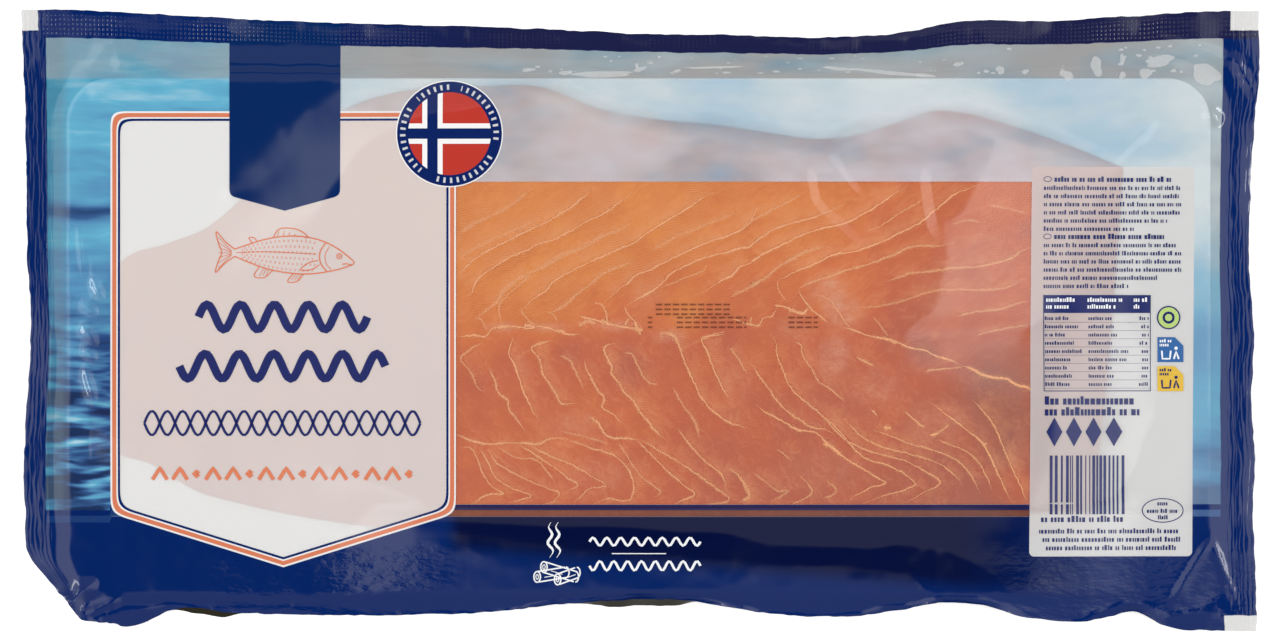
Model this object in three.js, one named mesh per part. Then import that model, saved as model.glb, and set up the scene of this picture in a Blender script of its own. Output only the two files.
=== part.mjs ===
// A pack of sliced smoked salmon: a flat film pouch, sealed along its four sides, drawn tight by vacuum
// over a stiff board and the slab of slices that lies on it. The pouch is shut and of one piece, so it is
// one closed solid: thin wavy seal flanges all round, a step up on to the board, and the low rise of the slab.
//
// Millimetres, +Z up. X runs along the pack and Y across it. The origin is under the middle of the pack, on the
// surface that its flat underside rests on.
import * as THREE from "three";

// Driving dimensions.
const BOARD = { length: 370, width: 167, corner: 14, top: 1.6, x: -0.5, y: -5 };
const SEAL_THICKNESS = 0.7;
const SEAL_HEIGHT = 0.6; // middle of the flange where it leaves the board
const CLEARANCE = 0.15; // between the flange's lowest places and the surface below
const SLAB_HEIGHT = { tail: 3.6, body: 5.4 }; // above the board, at the narrow end and at the wide end
const SLAB_ROUNDING = 5; // how far the film takes to climb each side of the slab's edge
const BOARD_ROUNDING = 2.2; // and the board's edge
const ROOM = 9; // between two outlines, for both roundings

// The four sides of each outline, anticlockwise from the lower left corner: the points of a smooth line.
const POUCH_SIDES = [
  [
    [-188.3, -87.2], [-180.3, -96.4], [-163.8, -98.6], [-151, -93.2], [-128.5, -94.5], [-99.7, -95.1],
    [-50.5, -94.2], [-18.4, -90.9], [13, -90], [32.7, -93.2], [52, -95.5], [70, -95.3], [85, -93.1], [99, -90.7],
    [111, -91.9], [125.2, -95.8], [140.5, -97.1], [150, -96], [159.5, -93.9], [169, -98.2], [188.3, -100],
    [199.4, -100.5],
  ],
  [
    [199.4, -100.5], [198.8, -80.6], [198.1, -59.5], [198.7, -41.4], [197.9, -31.4], [198.4, -2.9], [196.8, 17.5],
    [197.1, 33.7], [198.7, 64.7], [199.9, 74.4], [200, 100.3],
  ],
  [
    [200, 100.3], [181.2, 100], [155.3, 98.3], [136.2, 97.1], [103.6, 96.7], [81.2, 92.8], [63.8, 91.8],
    [35.6, 92.3], [0, 93], [-45.3, 95], [-89.6, 96.1], [-148.9, 98.7], [-175.7, 100.3], [-200, 100.5],
  ],
  [
    [-200, 100.5], [-199, 72.5], [-198.4, 47.2], [-198.1, 19.4], [-196.9, -3], [-198.8, -34.6],
    [-198.9, -59.5], [-196.4, -77.3], [-188.3, -87.2],
  ],
];
const SLAB_SIDES = [
  [
    [-174.8, -38.5], [-166.7, -44], [-132.7, -59.5], [-85.4, -66.7], [-25.9, -68.9], [51.8, -69.6],
    [131.1, -68.6],
  ],
  [[131.1, -68.6], [140.8, -49.8], [147.6, -25.6], [151.1, 5.5], [154.7, 48.2]],
  [
    [154.7, 48.2], [132.7, 57.9], [116.5, 63.4], [95.5, 67.6], [82.5, 62.5], [68, 59.2], [45.3, 61.5],
    [19.4, 65], [-6.5, 67], [-25.9, 71.5], [-55, 74.8], [-77.7, 73.8], [-96.4, 67.6], [-110, 55.3],
    [-128.8, 38.2], [-155.3, 23.9], [-174.8, 11.7],
  ],
  [[-174.8, 11.7], [-177.3, -6.1], [-177.3, -22.3], [-174.8, -38.5]],
];
const CORE = { length: 250, width: 12, x: 0, y: -3 }; // the middle of the slab, where the rings end

// How high the cut edge of the flange curls, at points along each side in the same order as the outlines.
const EDGE_CURL = [
  [
    [0, 1.4], [0.06, 2.6], [0.1, 1.2], [0.3, 1.1], [0.52, 3.6], [0.62, 1.2], [0.74, 3.4], [0.84, 1], [0.91, 3.2],
    [1, 1.4],
  ],
  [[0, 1.4], [0.2, 2.6], [0.45, 1.4], [0.7, 3.0], [0.86, 1.6], [1, 2.2]],
  [[0, 2.2], [0.16, 2.4], [0.27, 3.2], [0.35, 5.6], [0.46, 4.6], [0.62, 2.6], [0.82, 1.8], [1, 2.4]],
  [[0, 2.4], [0.3, 1.6], [0.5, 2.8], [0.72, 1.2], [0.88, 2.4], [1, 1.4]],
];

// Puckers where the loose film gathers: a ridge from one point to another, with its half width and height.
const PUCKERS = [
  { from: [-196, 94], to: [-166, 74], width: 4.5, height: 1.6 }, // upper left corner of the board
  { from: [-193, 62], to: [-180, 80], width: 3.5, height: 0.9 },
  { from: [194, 92], to: [172, 66], width: 5, height: 1.7 }, // upper right
  { from: [197, -96], to: [170, -74], width: 4.5, height: 2.0 }, // lower right
  { from: [176, -99], to: [160, -82], width: 4, height: 1.4 },
  { from: [198, -78], to: [183, -66], width: 4, height: 1.2 },
  { from: [-190, -84], to: [-170, -72], width: 5, height: 1.6 }, // lower left, behind the folded corner
  { from: [-166, -98], to: [-158, -86], width: 4, height: 1.5 },
  { from: [-185, 2], to: [-176, -34], width: 4, height: 0.9 }, // along the slab's narrow end
  { from: [-186, -10], to: [-181, 18], width: 3.5, height: 0.8 },
  { from: [155, 48], to: [143, -40], width: 4.5, height: 0.7 }, // along the slab's wide end
];

// Rings of points from the cut edge to the core. Each lies between two outlines (0 the cut edge, 1 the board's,
// 2 the slab's, 3 the core's), at a share of the way from one to the next and then a distance further in.
const FLANGE_RINGS = [0, 0.22, 0.45, 0.7, 0.92].map((share) => ({ from: 0, share, further: 0 }));
const BODY_RINGS = [
  { from: 1, share: 0, further: 0 },
  { from: 1, share: 0, further: BOARD_ROUNDING / 2 },
  { from: 1, share: 0, further: BOARD_ROUNDING },
  { from: 1, share: 1, further: -SLAB_ROUNDING },
  { from: 1, share: 1, further: -SLAB_ROUNDING / 2 },
  { from: 2, share: 0, further: 0 },
  { from: 2, share: 0, further: SLAB_ROUNDING / 2 },
  { from: 2, share: 0, further: SLAB_ROUNDING },
  { from: 2, share: 0.32, further: 0 },
  { from: 2, share: 0.66, further: 0 },
  { from: 2, share: 1, further: 0 },
];
const POINTS_ON_SIDE = [64, 30, 64, 30];

const { clamp, lerp, smoothstep } = THREE.MathUtils;

// One side of a smooth outline, evenly spaced along its length.
function splineSide(points) {
  const curve = new THREE.SplineCurve(points.map(([x, y]) => new THREE.Vector2(x, y)));
  return (t) => curve.getPointAt(t);
}

// One side of a rectangle with round corners, from the middle of one corner's arc to the middle of the next.
function roundedSide({ length, width, corner, x, y }, side) {
  const along = side % 2 === 0 ? length : width;
  const across = side % 2 === 0 ? width : length;
  const straight = along - 2 * corner;
  const arc = (corner * Math.PI) / 4;
  const turn = (side * Math.PI) / 2;
  return (t) => {
    const s = t * (straight + 2 * arc) - arc; // distance from where the first arc ends
    const angle = s < 0 ? s / corner : s > straight ? (s - straight) / corner : 0;
    const p = new THREE.Vector2(
      -straight / 2 + clamp(s, 0, straight) + corner * Math.sin(angle),
      -across / 2 + corner * (1 - Math.cos(angle)),
    );
    return p.rotateAround(new THREE.Vector2(), turn).add(new THREE.Vector2(x, y));
  };
}

// One side of a plain rectangle.
function straightSide({ length, width, x, y }, side) {
  const corners = [[-1, -1], [1, -1], [1, 1], [-1, 1]].map(
    ([sx, sy]) => new THREE.Vector2(x + (sx * length) / 2, y + (sy * width) / 2),
  );
  return (t) => corners[side].clone().lerp(corners[(side + 1) % 4], t);
}

const SIDES = [0, 1, 2, 3].map((side) => [
  splineSide(POUCH_SIDES[side]),
  roundedSide(BOARD, side),
  splineSide(SLAB_SIDES[side]),
  straightSide(CORE, side),
]);

// A ring's point on the line between two outlines. Where the line is short, so is the further distance.
function ringPoint({ from, share, further }, side, t) {
  const start = SIDES[side][from](t);
  const end = SIDES[side][from + 1](t);
  const room = start.distanceTo(end);
  return start.lerp(end, share + (further * Math.min(1, room / ROOM)) / room);
}

// A value that changes smoothly between the points of a list of [position, value].
function along(list, t) {
  const next = Math.max(1, list.findIndex(([at]) => at >= t));
  const [[a, low], [b, high]] = [list[next - 1], list[next]];
  return lerp(low, high, smoothstep(t, a, b));
}

// The height that the puckers add: each is a ridge with a bell-shaped section that fades at both ends.
function puckerHeight(p) {
  return PUCKERS.reduce((sum, { from, to, width, height }) => {
    const start = new THREE.Vector2(...from);
    const line = new THREE.Vector2(...to).sub(start);
    const offset = p.clone().sub(start);
    const share = offset.dot(line) / line.lengthSq();
    const distance = Math.abs(offset.cross(line)) / line.length();
    const fade = smoothstep(share, -0.2, 0.35) * (1 - smoothstep(share, 0.65, 1.2));
    return sum + height * fade * Math.exp(-((distance / width) ** 2));
  }, 0);
}

// The flange's middle: it leaves the board level, and curls more and more towards its cut edge.
function flangeMiddle(spot, side, t, p) {
  const out = 1 - spot.share;
  const curl = lerp(SEAL_HEIGHT, along(EDGE_CURL[side], t), out ** 1.4);
  return curl + out * (0.22 * Math.sin(p.x / 5.2) + 0.18 * Math.sin(p.y / 4.3));
}

// The film over the board and the slab: a low step up at the board's edge, then the slab with rounded edges
// and the faint unevenness of the slices below.
function bodyTop(spot, side, t, p) {
  const step = smoothstep(p.distanceTo(SIDES[side][1](t)), 0, BOARD_ROUNDING);
  const board = lerp(SEAL_HEIGHT + SEAL_THICKNESS / 2, BOARD.top, step);
  const inwards = (spot.from < 2 ? -1 : 1) * p.distanceTo(SIDES[side][2](t));
  const rise = smoothstep(inwards, -SLAB_ROUNDING, SLAB_ROUNDING);
  const slab = lerp(SLAB_HEIGHT.tail, SLAB_HEIGHT.body, smoothstep(p.x, -170, 20));
  const uneven = 0.16 * Math.sin(p.x / 17 + p.y / 31) + 0.14 * Math.sin(p.y / 13 - p.x / 43);
  return board + rise * (slab + uneven) + puckerHeight(p);
}

function flangeTop(spot, side, t, p) {
  return flangeMiddle(spot, side, t, p) + SEAL_THICKNESS / 2 + puckerHeight(p);
}

function flangeUnder(spot, side, t, p) {
  return Math.max(CLEARANCE, flangeMiddle(spot, side, t, p) - SEAL_THICKNESS / 2);
}

const boardUnder = () => 0;

// Every point round one ring, at the height that the given function finds.
function ringAt(spot, height) {
  return POINTS_ON_SIDE.flatMap((count, side) =>
    Array.from({ length: count }, (_, i) => {
      const p = ringPoint(spot, side, i / count);
      return new THREE.Vector3(p.x, p.y, height(spot, side, i / count, p));
    }),
  );
}

// A closed surface from rings: strips between neighbours, and a flat cap at each end.
function closedSurface(rings) {
  const count = rings[0].length;
  const index = [];
  for (let r = 0; r + 1 < rings.length; r++) {
    for (let i = 0; i < count; i++) {
      const [a, b] = [r * count + i, r * count + ((i + 1) % count)];
      index.push(a, b, b + count, a, b + count, a + count);
    }
  }
  const flat = (points) => points.map((p) => new THREE.Vector2(p.x, p.y));
  const last = (rings.length - 1) * count;
  for (const [a, b, c] of THREE.ShapeUtils.triangulateShape(flat(rings.at(-1)), [])) {
    index.push(last + a, last + b, last + c);
  }
  for (const [a, b, c] of THREE.ShapeUtils.triangulateShape(flat(rings[0]), [])) {
    index.push(a, c, b);
  }
  const geometry = new THREE.BufferGeometry();
  const positions = rings.flat().flatMap((p) => p.toArray());
  geometry.setAttribute("position", new THREE.Float32BufferAttribute(positions, 3));
  geometry.setIndex(index);
  geometry.computeVertexNormals();
  return geometry;
}

function makePouch() {
  const geometry = closedSurface([
    ringAt(BODY_RINGS[0], boardUnder),
    ...FLANGE_RINGS.toReversed().map((spot) => ringAt(spot, flangeUnder)),
    ...FLANGE_RINGS.map((spot) => ringAt(spot, flangeTop)),
    ...BODY_RINGS.map((spot) => ringAt(spot, bodyTop)),
  ]);
  const film = new THREE.MeshStandardMaterial({ color: 0x0b2c6b, roughness: 0.25, metalness: 0 });
  const pouch = new THREE.Mesh(geometry, film);
  pouch.name = "pouch";
  return pouch;
}

const pack = new THREE.Group();
pack.add(makePouch());
export default pack;
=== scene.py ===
"""Looks of a vacuum pack of sliced smoked salmon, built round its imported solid.

The pack lies on its back with its printed face up: X runs along it, Y across it and Z out of the printed face. Five
pieces stand for the solid: the film pouch, the fine print on it, the stiff board in it, the slab of salmon slices on
the board and the lines of fat in the top slice.

Shapes are worked out in millimetres, as whole numpy arrays, and scaled to metres when they become a mesh. The print is
drawn by nodes from the pouch's own flat map, whose unit is a millimetre of film.
"""
import math

import bpy
import numpy as np
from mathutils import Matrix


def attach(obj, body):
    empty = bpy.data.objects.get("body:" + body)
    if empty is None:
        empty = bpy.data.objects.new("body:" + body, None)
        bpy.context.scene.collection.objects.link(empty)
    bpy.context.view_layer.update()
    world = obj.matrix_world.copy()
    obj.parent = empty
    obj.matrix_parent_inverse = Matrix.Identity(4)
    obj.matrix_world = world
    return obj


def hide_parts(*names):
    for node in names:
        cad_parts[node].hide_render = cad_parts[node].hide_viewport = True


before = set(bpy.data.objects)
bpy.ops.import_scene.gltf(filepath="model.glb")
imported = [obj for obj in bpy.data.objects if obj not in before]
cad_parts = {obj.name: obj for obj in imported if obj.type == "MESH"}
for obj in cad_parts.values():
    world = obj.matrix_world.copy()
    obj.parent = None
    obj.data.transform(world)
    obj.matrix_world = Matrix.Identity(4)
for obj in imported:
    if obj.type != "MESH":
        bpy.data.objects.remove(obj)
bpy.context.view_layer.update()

MM = 0.001

# The pack, in millimetres.
FILM = {"left": -200.0, "right": 200.0, "bottom": -100.0, "top": 102.0}  # the flat film, before its seals curl
INNER = {"left": -185.0, "right": 184.0, "bottom": -88.0, "top": 78.5}  # inside this the film lies as it was printed
BOARD = {"length": 370.0, "width": 167.0, "corner": 14.0, "x": -0.5, "y": -5.0, "low": 0.15, "top": 1.4}
SEAL_HEIGHT = 0.6
SEAL_GAP = 0.25  # between the front and the back film in the seals
FILM_GAP = 0.2  # between the film and what it is drawn on to
TABLE_GAP = 0.05  # between the table and the back film
INK_LIFT = {"film": 0.1, "ink": 0.14, "top": 0.18}  # how far ink lies over the film, by what it is printed on
SLAB_HEIGHT = {"tail": 0.85, "body": 5.4}
SLAB_BASE = BOARD["top"] + 0.02  # the slab's underside
SLAB_ROUNDING = 5.0
SLICES = 4
FAT_LIFT = {"side": 0.085, "middle": 0.03}  # a line of fat over the slice: at its sides, and how much more inside
BACK_RINGS = (0.0, 1.2, 3.0, 5.5, 8.0, 10.5, 13.0, 15.5, 19.0, 23.0, 27.0)  # how far in each ring of the back lies

# The cut edge of the pouch, as points of (place along the flat film, place of the edge).
TOP_EDGE = [
    (-200, 100.5), (-175.7, 100.3), (-148.9, 98.7), (-89.6, 96.1), (-45.3, 95), (0, 93), (35.6, 92.3),
    (63.8, 91.8), (81.2, 92.8), (103.6, 96.7), (136.2, 97.1), (155.3, 98.3), (181.2, 100), (200, 100.3),
]
BOTTOM_EDGE = [
    (-200, -91.8), (-193, -96.4), (-186, -97.2), (-176, -97.6), (-163.8, -98.6), (-151, -93.2), (-128.5, -94.5),
    (-99.7, -95.1), (-50.5, -94.2), (-18.4, -90.9), (13, -90), (32.7, -93.2), (52, -95.5), (70, -95.3), (85, -93.1),
    (99, -90.7), (111, -91.9), (125.2, -95.8), (140.5, -97.1), (150, -96), (159.5, -93.9), (169, -98.2),
    (188.3, -100), (200, -100.4),
]
LEFT_EDGE = [
    (-100, -184.3), (-88, -187.7), (-83, -191.5), (-77.3, -196.4), (-59.5, -198.9), (-34.6, -198.8), (-3, -196.9),
    (19.4, -198.1), (47.2, -198.4), (72.5, -199), (102, -200),
]
RIGHT_EDGE = [
    (-100, 199.4), (-80.6, 198.8), (-59.5, 198.1), (-41.4, 198.7), (-31.4, 197.9), (-2.9, 198.4), (17.5, 196.8),
    (33.7, 197.1), (64.7, 198.7), (74.4, 199.9), (102, 200),
]
# How high the cut edge curls, along each side.
TOP_CURL = [(-200, 2.4), (-128, 1.6), (-48, 1.2), (16, 1.2), (60, 1.4), (92, 2.2), (136, 1.6), (200, 2.2)]
BOTTOM_CURL = [
    (-200, 1.2), (-176, 1.6), (-163, 2.6), (-150, 1.2), (-70, 1.1), (13, 3.4), (52, 1.2), (97, 3.2), (135, 1.0),
    (160, 3.0), (200, 1.4),
]
LEFT_CURL = [(-100, 1.4), (-75, 2.2), (-45, 1.4), (-8, 2.0), (12, 1.0), (42, 0.9), (75, 1.0), (102, 1.8)]
RIGHT_CURL = [(-100, 1.6), (-60, 1.9), (-10, 1.3), (41, 1.9), (73, 1.5), (102, 2.2)]

# The slab of slices: its lower and its upper edge as (x, y), and its right end as (share of the way up, x).
SLAB_LOW = [
    (-177.5, -34), (-170, -41.5), (-157.8, -46), (-142, -55), (-129.4, -58.5), (-85.4, -66.2), (-25.9, -68.9),
    (51.8, -69.6), (131.1, -68.6), (156, -66),
]
SLAB_HIGH = [
    (-177.5, 6), (-172, 13), (-167, 19), (-152, 25), (-138, 31), (-129, 38.5), (-112, 54), (-96.4, 67), (-77.7, 73.4),
    (-55, 75), (-31.4, 74.8), (-12.3, 67.6), (5.5, 64.4), (24, 62.8), (45.3, 59.8), (56, 58.4), (68, 59.4),
    (82.5, 63.6), (94.2, 67.4), (104, 66.8), (116.2, 63.7), (136.6, 57), (156, 49.2),
]
SLAB_LEFT = -177.5
SLAB_RIGHT = [(0, 145), (0.16, 147), (0.37, 150), (0.63, 152.5), (1, 155.5)]

# Between the slab's lower edge and the board's, the film comes down in two slopes with a flat shelf between them, whose
# upper and lower borders are these.
SHELF_HIGH = [
    (-180, -62), (-59.6, -64.4), (-31, -66.4), (-3.4, -66.7), (10.9, -67.8), (30.3, -68.8), (37.5, -71), (57.9, -72.6),
    (76.3, -73.3), (84.5, -72.6), (93, -73.8), (101, -75.4), (107, -78.3), (113.1, -82.3), (119.2, -87.5), (190, -88.5),
]
SHELF_LOW = [
    (-180, -66), (-59.6, -67.5), (-49.4, -69), (-31, -70.8), (-17.7, -71.5), (0.7, -73.6), (27.2, -76.7), (42.6, -78),
    (68.1, -79.2), (83.4, -80.7), (89.5, -82.6), (92.5, -87.5), (94, -88), (190, -88),
]
# Right of this line, given as (y, x), the slices thin out towards the slab's end.
THINNING = [
    (-70, 96), (-20, 84.4), (-3.9, 84.8), (2.3, 92.5), (12.6, 96.1), (19.7, 98), (29.1, 100.6), (36.9, 105.5),
    (43.7, 109), (70, 118),
]

# Steps that run across the film over the slab: the step's width and its path.
LEDGES = [
    (5, [(54, 52), (55.7, 44.7), (56.6, 39.2), (59.9, 35.3), (64.1, 32), (70, 26.5), (80, 19.5)]),
    (6, [(92.4, 52), (91.9, 44.7), (92.6, 39), (94, 31), (97.5, 20)]),
    (4.5, [(59, 58), (66, 47.5), (70.8, 41.8), (77, 35)]),
]
# Single folds of the film, as x1, y1, x2, y2, width and height.
FOLDS = [
    (-170, 91, -182, 76, 4.6, 0.46), (-177, 73, -165, 81, 3.8, 0.26), (-169, 93, -167, 79, 3, 0.35),
    (168, 66, 152, 51, 1.6, 0.45), (166, 92, 192, 84, 2.2, 0.7), (192, 86, 199, 72, 2, 0.8),
    (-188, -94, -176, -84, 2, 1.3), (-183, -96, -181, -84, 2, 0.9), (-180, -95, -168, -90, 2, 0.9),
    (-192, -84, -182, -92, 1.8, 0.9), (-177.2, 13.8, -173.6, 7.4, 1.3, 0.85), (-181, 5.5, -175, 2.6, 1.2, 0.7),
    (-180.5, -1.5, -175.5, -7.5, 1.4, 0.85), (-180.4, -8.5, -175.4, -12.6, 1.2, 0.65),
    (-179.6, -15, -176.2, -26, 1.5, 0.85), (-181.6, 30, -180, 14, 1, 0.3), (183, 68, 188, 64, 2, 1.1),
    (184.5, -70, 172, -91, 1.6, 0.8), (185, -71, 193, -92, 1.7, 0.6),
]
# Pockets in the top seal, as x, y, half width, half height and turn in degrees.
SEAL_POCKETS = [
    (-12, 80.6, 11, 1.4, 2), (-24, 81.2, 1.9, 1.2, 10), (0, 83.2, 2.6, 0.9, 35), (12, 82.4, 1.6, 0.7, 30),
    (24, 84.4, 8, 0.7, 3), (-1, 85, 0.6, 1.4, 0), (28, 81.5, 1.5, 0.5, 0), (64, 84, 5, 0.9, -12),
    (80, 81.6, 12, 1, -9), (92, 79.8, 4, 0.8, -6), (116.5, 81.8, 1.5, 1.5, 0), (112, 81.4, 0.8, 0.7, 0),
    (124.6, 81.2, 1.1, 1, 0), (147.6, 83.2, 1.9, 3.6, 12), (156, 85.8, 0.8, 2, 10), (168, 84.8, 5.2, 1.8, 12),
    (163.5, 80.3, 2.4, 1.6, 30), (183, 80, 5, 3.2, -40), (156, 79.6, 1, 1.4, 0), (138, 79.8, 2.2, 1.8, -30),
    (172.5, 81.2, 0.8, 0.7, 0), (103, 84.4, 1.6, 0.9, 20), (44, 82.2, 1.4, 0.5, 0), (-36, 82.4, 2.2, 0.8, 20),
]

# The print's large shapes on the flat film, in millimetres: middles, sides, half widths, tips and round corners. The
# slope is the direction that a lower edge faces, as (sideways, down).
WINDOW = {"left": -59.9, "right": 160.0, "low": -63.3, "high": 45.2, "corner": 0.3}
SHIELD = {"middle": -115.3, "half": 55.9, "high": 67.8, "tip": -79.6, "slope": (0.298, 0.955), "corner": 6.0}
BANNER = {"middle": -114.8, "half": 18.0, "tip": 35.6, "slope": (0.262, 0.965), "corner": 3.0}
ROUNDEL = {"x": -61.5, "y": 60.5, "flag": 13.4, "marks": 15.1, "ring": 16.95, "rim": 17.3}
LABEL = {"left": 126.5, "right": 179.3, "low": -76.0, "high": 49.8, "corner": 1.6, "lean": 0.9}

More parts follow.
